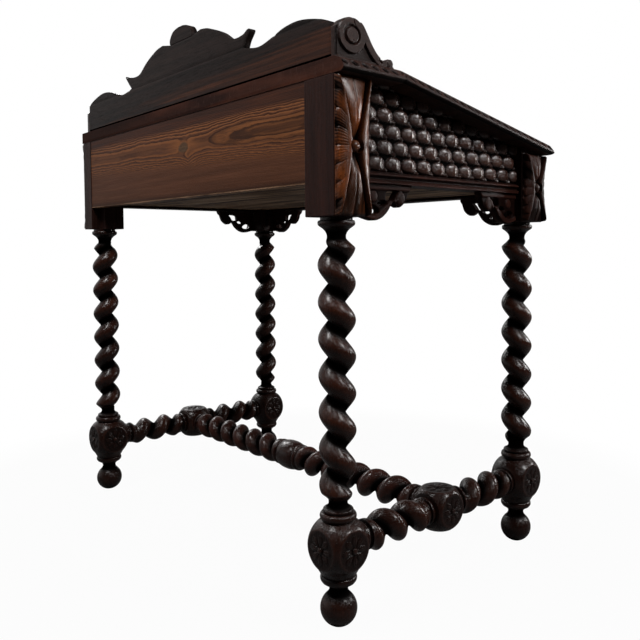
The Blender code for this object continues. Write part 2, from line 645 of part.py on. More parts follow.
def gallery():
    """Shaped board along the back, a wing at each end and a carved crest in the middle."""
    half = SIDE_FACE - WING_THICK - GAP
    foot = SHELF_TOP_Z + GAP
    shoulder = smooth_curve([(1, 0.46), (0.935, 0.54), (0.83, 0.605), (0.74, 0.585), (0.66, 0.51),
                             (0.58, 0.46), (0.487, 0.51)], 2)
    hook = smooth_curve([(0.487, 0.51), (0.52, 0.62), (0.548, 0.735), (0.50, 0.70)], 2)
    hump = smooth_curve([(0.50, 0.70), (0.45, 0.678), (0.395, 0.70), (0.325, 0.84), (0.23, 0.965),
                         (0.165, 1)], 2)
    seat = CREST_SEAT / GALLERY_HEIGHT
    right = shoulder + hook[1:] + hump[1:] + [(CREST_HALF_WIDTH / half, seat)]
    profile = [(1, 0)] + right + [(-u, v) for u, v in reversed(right)] + [(-1, 0)]

    def rise(x):
        return GALLERY_TILT * math.copysign(max(abs(x) - CREST_HALF_WIDTH, 0), x)

    outline = [(u * half, foot + v * GALLERY_HEIGHT + (rise(u * half) if v else 0)) for u, v in profile]
    board = prism(outline, GALLERY_FRONT_Y, GALLERY_BACK_Y, lambda u, v, w: (u, w, v))
    add_piece("gallery_board", board, "dark oak")

    wing = [(0, 0)] + smooth_curve([(0, 0.74), (0.085, 0.908), (0.19, 0.99), (0.33, 1), (0.436, 0.89),
                                    (0.51, 0.706), (0.60, 0.454), (0.69, 0.269), (0.786, 0.155)], 2)
    wing += smooth_curve([(0.786, 0.155), (0.845, 0.19), (0.92, 0.232), (0.99, 0.165), (1, 0)], 2)[1:]
    for name, side in (("gallery_wing_left", -1), ("gallery_wing_right", 1)):
        outline = [(GALLERY_BACK_Y - u * WING_LENGTH, foot + v * WING_HEIGHT) for u, v in wing]
        bm = prism(outline, side * (SIDE_FACE - WING_THICK), side * SIDE_FACE, lambda u, v, w: (w, u, v))
        add_piece(name, bm, "dark oak")

    seat_z = foot + CREST_SEAT + GAP
    edge = smooth_curve([(0.98, 0), (0.98, 0.34), (0.72, 0.80), (0.3, 0.98), (0, 1)], 2)
    crest = edge + [(-u, v) for u, v in reversed(edge[:-1])]
    outline = [(u * CREST_HALF_WIDTH, seat_z + v * CREST_HEIGHT) for u, v in crest]
    bm = prism(outline, GALLERY_FRONT_Y - CREST_FORWARD, GALLERY_BACK_Y, lambda u, v, w: (u, w, v))
    add_piece("gallery_crest", bm, "dark oak")


def build():
    for old in list(bpy.data.objects):
        bpy.data.objects.remove(old)

    corners = (
        ("back_left", -1, BACK_LEG_Y, -1, 0.0),
        ("back_right", 1, BACK_LEG_Y, 1, 0.36),
        ("front_left", -1, FRONT_LEG_Y, -1, 0.44),
        ("front_right", 1, FRONT_LEG_Y, 1, 0.81),
    )
    for corner, side, y, hand, phase in corners:
        post(f"post_{corner}", side * LEG_X, y, corner == "back_right")
        leg(f"leg_{corner}", side * LEG_X, y, hand, phase, -1 if y > 0 else 1)
        leaf_top = min(SHELF_UNDERSIDE_Z, lid_under_z(y - POST_SIDE / 2)) - GAP

        def on_side(u, v, w, side=side, y=y):
            return (side * (SIDE_FACE + w), y + u, v)

        post_leaf(f"leaf_{corner}_side", POST_SIDE, POST_BOTTOM_Z, leaf_top, on_side)

    leaf_top = lid_under_z(FRONT_FACE - LEAF_HEIGHT) - GAP
    low = FRONT_POST_INNER_Y + GAP
    high = BACK_POST_INNER_Y - GAP
    slope_normal = (-math.sin(LID_SLOPE), math.cos(LID_SLOPE), 0)
    for hand, side in (("left", -1), ("right", 1)):
        def on_front_post(u, v, w, side=side):
            return (side * LEG_X + u, FRONT_FACE - w, v)

        def on_side_panel(u, v, w, side=side):
            return (side * (SIDE_FACE - PANEL_RECESS + w), u, RAIL_TOP_Z + v)

        def on_side_rail(u, o, v, side=side):
            return (side * (SIDE_FACE + o), u, CASE_BOTTOM_Z + v)

        post_leaf(f"leaf_front_{hand}_front", POST_SIDE, POST_BOTTOM_Z, leaf_top, on_front_post)
        limits = [((0, SHELF_UNDERSIDE_Z - RAIL_TOP_Z - GAP, 0), (0, 1, 0)),
                  ((HINGE_Y, lid_under_z(HINGE_Y) - RAIL_TOP_Z - GAP, 0), slope_normal)]
        scale_panel(f"side_panel_{hand}", low, high, limits, on_side_panel)
        moulded_rail(f"side_rail_{hand}", low, high, on_side_rail)
        back_half = (1, 0.6) if hand == "left" else (-1, 0.3)
        side_stretcher(f"side_stretcher_{hand}", side * LEG_X, (-1, 0.2), back_half)

        def at_back(d, drop, w, side=side):
            return (side * (SIDE_FACE - BRACKET_RECESS - w), BACK_POST_INNER_Y - d, CASE_BOTTOM_Z - drop)

        def at_front(d, drop, w, side=side):
            return (side * (SIDE_FACE - BRACKET_RECESS - w), FRONT_POST_INNER_Y + d, CASE_BOTTOM_Z - drop)

        def across_front(d, drop, w, side=side):
            return (side * (POST_INNER_X - d), FRONT_FACE + BRACKET_RECESS + w, CASE_BOTTOM_Z - drop)

        if hand == "left":
            bracket(f"bracket_side_back_{hand}", at_back)
        bracket(f"bracket_side_front_{hand}", at_front)
        bracket(f"bracket_front_{hand}", across_front)

    wide = POST_INNER_X - GAP

    def on_front_panel(u, v, w):
        return (u, FRONT_FACE + PANEL_RECESS - w, RAIL_TOP_Z + v)

    def on_front_rail(u, o, v):
        return (u, FRONT_FACE - o, CASE_BOTTOM_Z + v)

    front_top = lid_under_z(FRONT_FACE + PANEL_RECESS - SCALE_HEIGHT) - RAIL_TOP_Z - GAP
    scale_panel("front_panel", -wide, wide, [((0, front_top, 0), (0, 1, 0))], on_front_panel)
    moulded_rail("front_rail", -wide, wide, on_front_rail)
    back = box(-wide, wide + BACK_REBATE, BACK_PANEL_INNER_Y + GAP, BACK_Y - 0.001,
               BACK_BOTTOM_Z, SHELF_UNDERSIDE_Z - GAP)
    add_piece("back_panel", back, "pine")
    bottom_boards()
    cross_stretcher("cross_stretcher")
    shelf_lid_and_hinges()
    gallery()


build()
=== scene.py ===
"""Looks of the carved slant-lid writing table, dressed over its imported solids.

Metres, +Z up, floor at z = 0. The lid's nose faces -Y and the plain back faces +Y.
Turning, carving, grain and wear are made here; each piece stands where its solid stands.
"""
import json
import math

import bmesh
import bpy
import numpy as np
from mathutils import Matrix, Vector
from mathutils.geometry import delaunay_2d_cdt

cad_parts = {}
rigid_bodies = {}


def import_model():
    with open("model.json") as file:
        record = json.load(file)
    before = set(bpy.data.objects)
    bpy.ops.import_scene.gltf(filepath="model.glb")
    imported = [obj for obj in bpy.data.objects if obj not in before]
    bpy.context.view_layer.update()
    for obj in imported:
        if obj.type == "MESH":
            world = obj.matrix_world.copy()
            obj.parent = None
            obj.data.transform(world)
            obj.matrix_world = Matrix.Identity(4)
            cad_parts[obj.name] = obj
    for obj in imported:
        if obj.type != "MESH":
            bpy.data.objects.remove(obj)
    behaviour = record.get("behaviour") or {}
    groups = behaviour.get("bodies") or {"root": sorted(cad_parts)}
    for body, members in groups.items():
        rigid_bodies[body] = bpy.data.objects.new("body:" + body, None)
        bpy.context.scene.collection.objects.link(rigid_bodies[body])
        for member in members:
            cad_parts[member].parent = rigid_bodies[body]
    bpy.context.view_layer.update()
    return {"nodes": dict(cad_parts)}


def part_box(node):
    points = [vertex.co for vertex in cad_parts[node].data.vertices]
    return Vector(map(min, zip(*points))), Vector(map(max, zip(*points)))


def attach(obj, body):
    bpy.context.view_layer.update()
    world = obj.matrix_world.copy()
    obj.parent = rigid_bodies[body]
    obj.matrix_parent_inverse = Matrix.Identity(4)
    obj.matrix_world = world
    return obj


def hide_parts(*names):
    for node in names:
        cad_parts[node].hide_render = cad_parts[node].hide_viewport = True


for old in list(bpy.data.objects):
    bpy.data.objects.remove(old)
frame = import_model()

# Sizes shared with the solids
GAP = 0.0003
LEG_X = 0.403
BACK_LEG_Y = 0.23525
FRONT_LEG_Y = -0.21975
MID_Y = (BACK_LEG_Y + FRONT_LEG_Y) / 2
POST_SIDE = 0.065
POST_BOTTOM_Z = 0.604
CASE_BOTTOM_Z = 0.655
RAIL_HEIGHT = 0.018
RAIL_TOP_Z = CASE_BOTTOM_Z + RAIL_HEIGHT
SHELF_UNDERSIDE_Z = 0.8015
TOP_THICK = 0.023
SHELF_TOP_Z = SHELF_UNDERSIDE_Z + TOP_THICK
BACK_Y = 0.26775
NOSE_Y = -BACK_Y
HINGE_Y = 0.14225
SHELF_DEPTH = BACK_Y - HINGE_Y
LID_SLOPE = math.radians(10.5)
LID_SEAM = 0.0005
EDGE_INSET = 0.017
SIDE_FACE = LEG_X + POST_SIDE / 2
POST_INNER_X = LEG_X - POST_SIDE / 2
TOP_OVERHANG = 0.021
HALF_TOP = SIDE_FACE + TOP_OVERHANG
BACK_POST_INNER_Y = BACK_LEG_Y - POST_SIDE / 2
FRONT_POST_INNER_Y = FRONT_LEG_Y + POST_SIDE / 2
FRONT_FACE = FRONT_LEG_Y - POST_SIDE / 2
BACK_REBATE = 0.025
BACK_PANEL_THICK = 0.020
BACK_PANEL_INNER_Y = BACK_Y - BACK_PANEL_THICK
BOARD_THICK = 0.012
LIP_WIDTH = 0.012         # of the rails' inner lip, which carries the boards
LIP_HEIGHT = 0.005

# Turning
CREST_RADIUS = 0.0279
ROD_CREST_RADIUS = 0.0283
ROD_END_RADIUS = 0.82 * ROD_CREST_RADIUS
VALLEY_RADIUS = 0.012
NECK_RADIUS = 0.0142
COLLAR_RADIUS = 0.0276
FOOT_RADIUS = 0.0278
WEAR_AND_SHADE_RADII = 0.0145, 0.0285   # from hollow, darkened by grime and painted shade, to rubbed crest
TENON_RADIUS = 0.0125
TENON_LENGTH = 0.040
BORE_RADIUS = 0.0128
BORE_DEPTH = 0.0403
BLOCK_RADIUS = 0.046
BLOCK_FLAT = BLOCK_RADIUS - 0.0073
MID_RADIUS = 0.0425
MID_FLAT = MID_RADIUS - 0.0073
FLOWER_FLAT = 0.0353      # deeper flats that carry the carved flowers
MID_FLOWER_FLAT = 0.0318
FLOWER_RADIUS = 0.0240
MID_FLOWER_RADIUS = 0.0225
PETALS = 8
PETAL_HEIGHT = 0.0019
BLOCK_REACH = 1.32        # half a block's length against half its flats' length
ARRIS = 0.0004            # rounding of the blocks' edges
STRETCHER_Z = 0.120
LEG_TURNS = 7.15
SIDE_TURNS = 2.4
CROSS_TURNS = 6
CROSS_PHASE = 0.4
KNOP_RADIUS = 0.030
KNOP_LENGTH = 0.080
SIDES = 128               # points round a turned piece
TWIST_STEP = 0.0016       # spacing of rows along a twist
BLOCK_STEP = 0.0010

# Carving
PANEL_RECESS = 0.018
PANEL_THICK = 0.016
SCALE_COLUMN = 0.0355
SCALE_ROW = 0.0245
SCALE_HEIGHT = 0.008
PIP_HEIGHT = 0.0046
PIP_HALF_WIDTH = 0.0062
PIP_HALF_LENGTH = 0.0054
SCALE_STEP = 0.0012       # spacing of points on a scale panel
LEAF_HEIGHT = 0.0135
LEAF_STEP = 0.0008
LOBES = 7                 # along the outer edge of a side leaf
VEINS = 6                 # in each lobe
BEAD_RADIUS = 0.0086
BRACKET_WIDTH = 0.107
BRACKET_DROP = 0.057
BRACKET_THICK = 0.014
BRACKET_RECESS = 0.011
GALLERY_HEIGHT = 0.1225
GALLERY_TILT = 0.012
GALLERY_BACK_Y = BACK_Y - 0.0095
GALLERY_FRONT_Y = GALLERY_BACK_Y - 0.012
WING_THICK = 0.015
WING_HEIGHT = 0.0595
WING_LENGTH = GALLERY_BACK_Y - HINGE_Y - 0.003
CREST_HALF_WIDTH = 0.040
CREST_HEIGHT = 0.026
CREST_SEAT = 0.117
CREST_FORWARD = 0.006
PLANK_JOINT_Z = 0.887     # joint of the gallery's two planks
PIT_SPACING = 0.020       # pits along the carved edges
PIT_SHARE = 0.56          # their height, as a share of the edge's
PIT_HALF_LENGTH = 0.0058
PIT_HALF_HEIGHT = 0.0046
PIT_SLANT = 0.9
PIT_DEPTH = 0.0042
PIT_IN, PIT_DOWN = 0.75, 0.6     # how a pit's depth divides
LINE_SHARE = 0.30         # height of the line below the pits
LINE_DEPTH = 0.0009
EDGE_TALL = 0.026         # measured over the edge's slope
EDGE_STEP = 0.0016        # spacing of points along the carved edges
WORN_OVERHANG = 0.0045    # of the shelf's right back corner

# Hinges
HINGE_X = POST_INNER_X - 0.0805
HINGE_HALF_LENGTH = 0.0313
HINGE_LEAF_WIDTH = 0.0283
HINGE_LEAF_DEPTH = 0.0023
KNUCKLE_DEPTH = 0.0046
SCREW_PLACES = (-0.022, 0.013), (0, 0.020), (0.022, 0.013)
SCREW_RADIUS = 0.0032
SCREW_LOW, SCREW_HIGH = -0.0006, 0.0003    # about the leaf's face
HALF_SLOT = 0.0004

# Studio and camera, which was solved from the photo
WHITE = (1, 1, 1, 1)
FLOOR_GREY = (0.14, 0.14, 0.14, 1)
FLOOR_REACH = 6
AMBIENT = 0.02
BACKDROP_SIDE = (0.95, 0.30, 0.0)
LAMPS = (                 # name, place, target, size and watts
    ("back_window", (-0.20, 1.15, 2.35), (0, 0, 0.5), (0.5, 0.5), 60),
    ("side_window", (-1.85, -0.45, 1.85), (0, 0, 0.5), (0.5, 0.5), 46),
    ("right_window", (1.95, -0.35, 1.55), (0.2, 0, 0.5), (0.6, 0.6), 26),
    ("front_window", (-1.10, -2.05, 1.02), (-0.2, 0, 0.6), (0.35, 0.5), 33),
)
CAMERA_PLACE = (-1.17155, 0.92042, 0.56242)
CAMERA_DEGREES = -41.306, -2.396, -0.393    # yaw, pitch and roll
PHOTO_PIXELS = 640
FOCAL_PIXELS = 705.36
CENTRE_PIXEL_X, CENTRE_PIXEL_Y = 331.59, 275.26
SENSOR_WIDTH = 36


def lid_under_z(y):
    """Height of the closed lid's underside at y."""
    return SHELF_TOP_Z - (HINGE_Y - y) * math.tan(LID_SLOPE) - TOP_THICK / math.cos(LID_SLOPE)


# Materials

class Value:
    """What a node gives; arithmetic on it adds math nodes."""

    def __init__(self, nodes, socket):
        self.nodes = nodes
        self.socket = socket

    def __add__(self, other):
        return self.nodes.math("ADD", self, other)

    def __sub__(self, other):
        return self.nodes.math("SUBTRACT", self, other)

    def __rsub__(self, other):
        return self.nodes.math("SUBTRACT", other, self)

    def __mul__(self, other):
        return self.nodes.math("MULTIPLY", self, other)

    def __truediv__(self, other):
        return self.nodes.math("DIVIDE", self, other)


class Nodes:
    """A node tree put together from short calls."""

    def __init__(self, tree):
        self.tree = tree

    def add(self, kind, inputs, **settings):
        """A node with its settings, its inputs given as plain values or as other nodes' values."""
        node = self.tree.nodes.new(kind)
        for setting, value in settings.items():
            setattr(node, setting, value)
        for socket, value in inputs.items():
            self.feed(node.inputs[socket], value)
        return node

    def feed(self, socket, value):
        if isinstance(value, Value):
            self.tree.links.new(value.socket, socket)
        else:
            socket.default_value = value

    def output(self, kind, inputs, socket=0, **settings):
        """What one socket of a new node gives."""
        return Value(self, self.add(kind, inputs, **settings).outputs[socket])

    def math(self, operation, first, second=0.0):
        return self.output("ShaderNodeMath", {0: first, 1: second}, operation=operation)

    def largest(self, first, second):
        return self.math("MAXIMUM", first, second)

    def decay(self, value):
        """e to the power of minus the value."""
        return self.math("EXPONENT", value * -1.0)

    def line(self, x, start, end):
        """Height at x of a straight line between two points, each given as x and z."""
        slope = (end[1] - start[1]) / (end[0] - start[0])
        return x * slope + (start[1] - slope * start[0])

    def split(self, vector):
        """The three parts of a vector."""
        return [Value(self, part) for part in self.add("ShaderNodeSeparateXYZ", {"Vector": vector}).outputs]

    def ramp(self, factor, *stops):
        """Colour ramp; a stop is a place and a colour, or a place and a grey level."""
        node = self.add("ShaderNodeValToRGB", {"Fac": factor})
        ramp = node.color_ramp
        while len(ramp.elements) < len(stops):
            ramp.elements.new(0.5)
        for element, (place, colour) in zip(ramp.elements, stops):
            element.position = place
            grey = (colour, colour, colour) if isinstance(colour, (int, float)) else colour
            element.color = (*grey, 1)
        return Value(self, node.outputs[0])

    def rise(self, factor, low, high, most=1.0):
        """0 below low, the most above high, straight between."""
        return self.ramp(factor, (low, 0.0), (high, most))

    def mix(self, factor, first, second, blend="MIX"):
        """Colour between two others, which are given as red, green and blue or as values."""
        node = self.add("ShaderNodeMix", {0: factor}, data_type="RGBA", blend_type=blend)
        for socket, value in ((node.inputs[6], first), (node.inputs[7], second)):
            self.feed(socket, (*value, 1) if isinstance(value, tuple) else value)
        return Value(self, node.outputs[2])


class Shader(Nodes):
    """The nodes of one new material."""

    def __init__(self, name):
        self.material = bpy.data.materials.new(name)
        self.material.use_nodes = True
        super().__init__(self.material.node_tree)
        self.surface = self.tree.nodes["Principled BSDF"]
        self.here = self.output("ShaderNodeTexCoord", {}, "Object")

    def set(self, **values):
        """Feed the surface's own sockets; underscores stand for spaces."""
        for socket, value in values.items():
            self.feed(self.surface.inputs[socket.replace("_", " ")], value)

    def stretched(self, scale):
        return self.output("ShaderNodeMapping", {"Vector": self.here, "Scale": scale})

    def noise(self, vector, scale=1.0, detail=4.0, roughness=0.55, distortion=0.0):
        return self.output("ShaderNodeTexNoise", {"Vector": vector, "Scale": scale, "Detail": detail,
                                                  "Roughness": roughness, "Distortion": distortion})

    def wear_and_shade(self):
        return self.output("ShaderNodeAttribute", {}, "Fac", attribute_name="wear_and_shade")

    def bump(self, height, distance, strength):
        self.set(Normal=self.output("ShaderNodeBump", {"Height": height, "Distance": distance,
                                                       "Strength": strength}))


def shade(colour, factor):
    return tuple(channel * factor for channel in colour)


def wood(name, along, stain, bare, gloss, shine, streak=0.3, touch=None):
    """Stained oak with its grain along one axis, worn to the bare colour on the high spots.

    touch(shader, tone, rough, sheen) may change the colour, the roughness and the sheen last.
    """
    s = Shader(name)

    def along_grain(across, lengthways):
        scale = [across] * 3
        scale[along] = lengthways
        return s.stretched(scale)

    grain = s.noise(along_grain(260, 12), detail=5, roughness=0.6, distortion=0.4)
    pores = s.noise(along_grain(1500, 45), detail=2)
    streaks = s.noise(along_grain(75, 2.5), detail=6, roughness=0.7, distortion=0.3)
    patches = s.noise(s.here, scale=11, detail=3)
    flecks = s.noise(s.here, scale=240, detail=3)
    lines = s.rise(pores, 0.52, 0.66)

    tone = s.ramp(grain, (0.28, shade(stain, 0.55)), (0.50, stain), (0.74, shade(stain, 1.65)))
    tone = s.mix(patches * 0.9, tone, shade(stain, 0.55))
    rubbed = s.wear_and_shade() * s.ramp(patches, (0.30, 0.25), (0.62, 1.0)) * s.ramp(flecks, (0.30, 0.45), (0.60, 1.0))
    tone = s.mix(rubbed, tone, s.mix(grain, shade(bare, 0.7), shade(bare, 1.35)))
    # Grime and painted shade: low shares, in the hollows, darken the colour here and dim the sheen below
    grime_and_shade = s.ramp(s.wear_and_shade(), (0.0, 0.04), (0.12, 0.35), (0.35, 1.0))
    tone = s.mix(1.0, tone, grime_and_shade, "MULTIPLY")
    tone = s.mix(lines * 0.55, tone, shade(stain, 0.25))
    tone = s.mix(1.0, tone, s.ramp(streaks, (0.38, 1 - streak), (0.60, 1.0)), "MULTIPLY")

    rough = flecks * 0.22 + (gloss - 0.11) + lines * 0.15
    rough = s.largest(rough, s.ramp(s.wear_and_shade(), (0.02, 0.85), (0.22, 0.0)))
    sheen = grime_and_shade * shine
    if touch:
        tone, rough, sheen = touch(s, tone, rough, sheen)
    s.set(Base_Color=tone, Roughness=rough, Specular_IOR_Level=sheen)
    s.bump(grain * 0.7 - lines * 0.8 + flecks * 0.4, 0.0005, 0.35)
    return s.material


def redder_foot_and_gap_shadow(s, tone, rough, sheen):
    """Gallery board: grey-black above, reddish along the foot, most at the left end.

    The gap at the joint with the shelf is painted as a black band of shadow, without sheen, on the back face
    alone.
    """
    x, y, z = s.split(s.here)
    streaks = s.noise(s.stretched((3, 60, 150)), detail=5, roughness=0.65)
    low = (SHELF_TOP_Z + 0.034 - z) * 22.0
    share = low + x * -1.1 + (streaks - 0.5) * 2.4
    red = s.ramp(streaks, (0.36, (0.013, 0.0050, 0.0035)), (0.62, (0.052, 0.0180, 0.0090)))
    tone = s.mix(s.rise(share, 0.0, 0.8, 0.9), tone, red)
    # Painted shadow of the gap at the joint with the shelf: black, and without sheen, on the back face
    above_gap_shadow = s.rise((z - SHELF_TOP_Z) * 100.0, 0.66, 0.76)
    clear = s.largest(above_gap_shadow, s.rise((GALLERY_BACK_Y - y) * 200.0, 0.4, 0.7))
    return s.mix(1.0, tone, clear, "MULTIPLY"), rough, sheen * clear


def cracked_boards(s, tone, rough, sheen):
    """Well boards: never stained, dusty, with dark splits along the grain."""
    splits = s.noise(s.stretched((2.2, 85, 85)), detail=4, roughness=0.6)
    dust = s.noise(s.stretched((5, 30, 30)), detail=4)
    tone = s.mix(s.rise(dust, 0.42, 0.62, 0.7), tone, (0.36, 0.24, 0.16))
    return s.mix(s.rise(splits, 0.53, 0.58, 0.95), tone, (0.016, 0.009, 0.006)), rough, sheen


def dark_back_edge(s, tone, rough, sheen):
    """Shelf: its sawn back edge is dull, dark red-brown, scored by the saw and darker to the right."""
    facing = s.split(s.output("ShaderNodeNewGeometry", {}, "True Normal"))[1]
    back = s.rise(facing, 0.80, 0.95)
    marks = s.noise(s.stretched((190, 1, 55)), detail=4, roughness=0.7, distortion=1.2)
    patches = s.noise(s.stretched((7, 1, 40)), detail=4)
    sawn = s.ramp(patches, (0.35, (0.016, 0.0070, 0.0056)), (0.65, (0.046, 0.0165, 0.0105)))
    sawn = s.mix(s.rise(marks, 0.55, 0.68, 0.45), sawn, (0.056, 0.030, 0.024))
    right = s.rise(s.split(s.here)[0] + 0.45, 0.35, 0.75, 0.65)
    sawn = s.mix(right, sawn, (0.0105, 0.0060, 0.0052))
    dull = s.ramp(facing, (0.80, 1.0), (0.95, 0.4))
    return s.mix(back, tone, sawn), s.largest(rough, back * 0.85), sheen * dull


def pine_knot(s, x, z, patches):
    """Shares of the back panel's knot and of the pale wood round it."""
    aside = (x - KNOT_X) / KNOT_HALF_WIDTH
    above = (z - KNOT_Z) / KNOT_HALF_HEIGHT
    knot = s.decay(aside * aside + above * above)
    around = s.decay(aside * aside * 0.10 + above * above * 0.60 + patches * 2.2)
    return knot, around


def pine_rings(s, x, z, knot):
    """Distance from the heart of the arched rings, and how far into its year each ring is."""
    waver = (s.noise(s.stretched((9, 9, 30)), detail=3) - 0.5) * 0.013
    shiver = (s.noise(s.stretched((40, 40, 150)), detail=3) - 0.5) * 0.005
    height = z + waver + shiver - s.line(x, *HEART_LINE)
    sharp = s.math("ABSOLUTE", (x - DIP_X) / DIP_HALF_WIDTH)
    dip = s.decay(sharp) * s.rise(height * -45.0, 0.1, 0.7)
    height = height + dip * 0.012
    depth = s.math("MINIMUM", s.largest(x - ARCH_TIP_X, 0.0), 0.17) * 0.105
    rings = s.math("SQRT", height * height + depth * depth) + knot * 0.010
    return rings, s.math("FRACT", rings * 36.0 + rings * rings * 3800.0 + 0.12)


def pine_back():
    """Thinly stained pine: arches of summer wood that open to one end, a knot, a dark band on top."""
    s = Shader("pine_back")
    x, _, z = s.split(s.here)
    fine = s.noise(s.stretched((9, 300, 420)), detail=5, roughness=0.65)
    streaks = s.noise(s.stretched((3, 60, 120)), detail=4)
    patches = s.noise(s.stretched((9, 14, 60)), detail=4, roughness=0.6)
    knot, around_knot = pine_knot(s, x, z, patches)
    rings, year = pine_rings(s, x, z, knot)

    # Arches in the middle, closer and redder rings outside them
    summer = s.ramp(year, (0.0, 0.15), (0.22, 0.0), (0.52, 0.40), (0.74, 1.0), (0.93, 1.0), (1.0, 0.15))
    tone = s.ramp(fine, (0.30, shade(PINE_LIGHT, 0.55)), (0.55, PINE_LIGHT), (0.78, shade(PINE_LIGHT, 1.30)))
    tone = s.mix(s.rise(patches, 0.50, 0.61, 0.85), tone, shade(PINE, 0.34))
    tone = s.mix(summer * 0.90, tone, shade(PINE, 0.24))
    core = s.ramp(rings, (0.0, 1.0), (0.0060, 0.9), (0.0080, 0.0)) - fine * 0.4
    tone = s.mix(core, tone, shade(PINE, 0.30))
    plain = s.ramp(streaks, (0.3, shade(PINE, 0.48)), (0.7, shade(PINE, 0.90)))
    plain = s.mix(s.rise(fine, 0.38, 0.66, 0.6), plain, shade(PINE, 0.42))
    spring_line = s.ramp(year, (0.26, 0.0), (0.48, 0.8), (0.70, 0.8), (0.78, 0.0))
    summer_line = s.ramp(year, (0.78, 0.0), (0.86, 0.85), (0.95, 0.85), (1.0, 0.0))
    close = s.mix(spring_line, plain, shade(PINE_LIGHT, 1.05))
    close = s.mix(summer_line, close, shade(PINE, 0.20))
    tone = s.mix(s.rise(rings, 0.0135, 0.0210), tone, close)

    # Plain wood below, a dark band above, then the knot in its pale surround
    below = (s.line(x, *PLAIN_LINE) - z) * 40.0 + streaks * 0.4
    tone = s.mix(s.rise(below, 0.30, 0.75) * 0.9, tone, plain)
    band = (z - s.line(x, *BAND_LINE)) * 60.0 + streaks * 0.7
    dusk = s.ramp(fine, (0.3, (0.019, 0.0078, 0.0055)), (0.75, (0.056, 0.0190, 0.0105)))
    dusk = s.mix(s.rise(streaks, 0.45, 0.62, 0.8), dusk, (0.017, 0.0078, 0.0060))
    tone = s.mix(s.rise(band, 0.25, 0.75, 0.97), tone, dusk)
    pale = s.ramp(fine, (0.3, shade(PINE_LIGHT, 0.7)), (0.7, shade(PINE_LIGHT, 1.15)))
    tone = s.mix(s.rise(around_knot, 0.08, 0.30, 0.85), tone, pale)
    heart = s.ramp(fine, (0.3, (0.028, 0.018, 0.012)), (0.7, (0.068, 0.042, 0.024)))
    tone = s.mix(s.rise(knot + (patches - 0.5) * 1.4, 0.35, 0.62, 0.85), tone, heart)

    # Dirt along the bottom, and the bottom edge painted pale: a rubbed arris with painted highlight
    dirt = (DIRT_TOP_Z - z) * 70.0 + streaks * 0.8
    tone = s.mix(s.rise(dirt, 0.45, 1.0, 0.8), tone, shade(PINE, 0.20))
    rubbed = s.ramp((z - BACK_BOTTOM_Z) * 100.0, (0.10, 0.85), (0.26, 0.0))
    tone = s.mix(rubbed * s.ramp(patches, (0.38, 0.2), (0.52, 1.0)), tone, (0.230, 0.135, 0.080))
    s.set(Base_Color=tone, Roughness=fine * 0.25 + 0.42, Specular_IOR_Level=0.05)
    s.bump(fine * 0.8 - summer * 0.5, 0.0006, 0.4)
    return s.material


def metal(name, colour, tarnish, rough):
    """Old rubbed metal with dull patches."""
    s = Shader(name)
    patches = s.noise(s.here, scale=90, detail=5)
    scratches = s.noise(s.stretched((150, 2200, 2200)), detail=2)
    tone = s.mix(s.rise(patches, 0.40, 0.65), colour, tarnish)
    s.set(Base_Color=tone, Metallic=1.0, Roughness=patches * 0.3 + rough)
    s.bump(scratches + patches, 0.0002, 0.3)
    return s.material


# Colours of the woods, in linear light
OAK = (0.0100, 0.0041, 0.0031)
OAK_WORN = (0.0330, 0.0098, 0.0053)
POST_STAIN = (0.0180, 0.0072, 0.0062)
LEAF_STAIN = (0.030, 0.0105, 0.0045)
LEAF_WORN = (0.215, 0.0500, 0.0070)
DARK_LEAF_WORN = (0.042, 0.0130, 0.0080)
RAIL_WORN = (0.046, 0.0125, 0.0078)
SCALE_WORN = (0.060, 0.0275, 0.0205)
GALLERY_STAIN = (0.0115, 0.0068, 0.0058)
GALLERY_WORN = (0.019, 0.0105, 0.0085)
BOARD = (0.170, 0.096, 0.052)
BOARD_WORN = (0.230, 0.132, 0.072)
PINE = (0.104, 0.040, 0.021)
PINE_LIGHT = (0.165, 0.061, 0.023)

# Places on the back panel, lines given by the x and z of two points
KNOT_X, KNOT_Z = -0.020, 0.745
KNOT_HALF_WIDTH, KNOT_HALF_HEIGHT = 0.018, 0.011
HEART_LINE = (-0.367, 0.7415), (0.370, 0.7560)    # middle of the arches
PLAIN_LINE = (-0.366, 0.705), (0.348, 0.729)      # plain wood below
BAND_LINE = (-0.367, 0.7745), (0.370, 0.7790)     # dark band above
ARCH_TIP_X = -0.275
DIP_X, DIP_HALF_WIDTH = -0.036, 0.024             # where the lower rings dip
DIRT_TOP_Z = 0.664
BACK_BOTTOM_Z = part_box("back_panel")[0].z

# Axes that a grain can run along, and looks that several pieces share
ACROSS, LENGTHWAYS, UPRIGHT = 0, 1, 2
TURNED = {"gloss": 0.21, "shine": 0.17}
SCALED = {"gloss": 0.20, "shine": 0.22}
MOULDED = {"gloss": 0.42, "shine": 0.04}

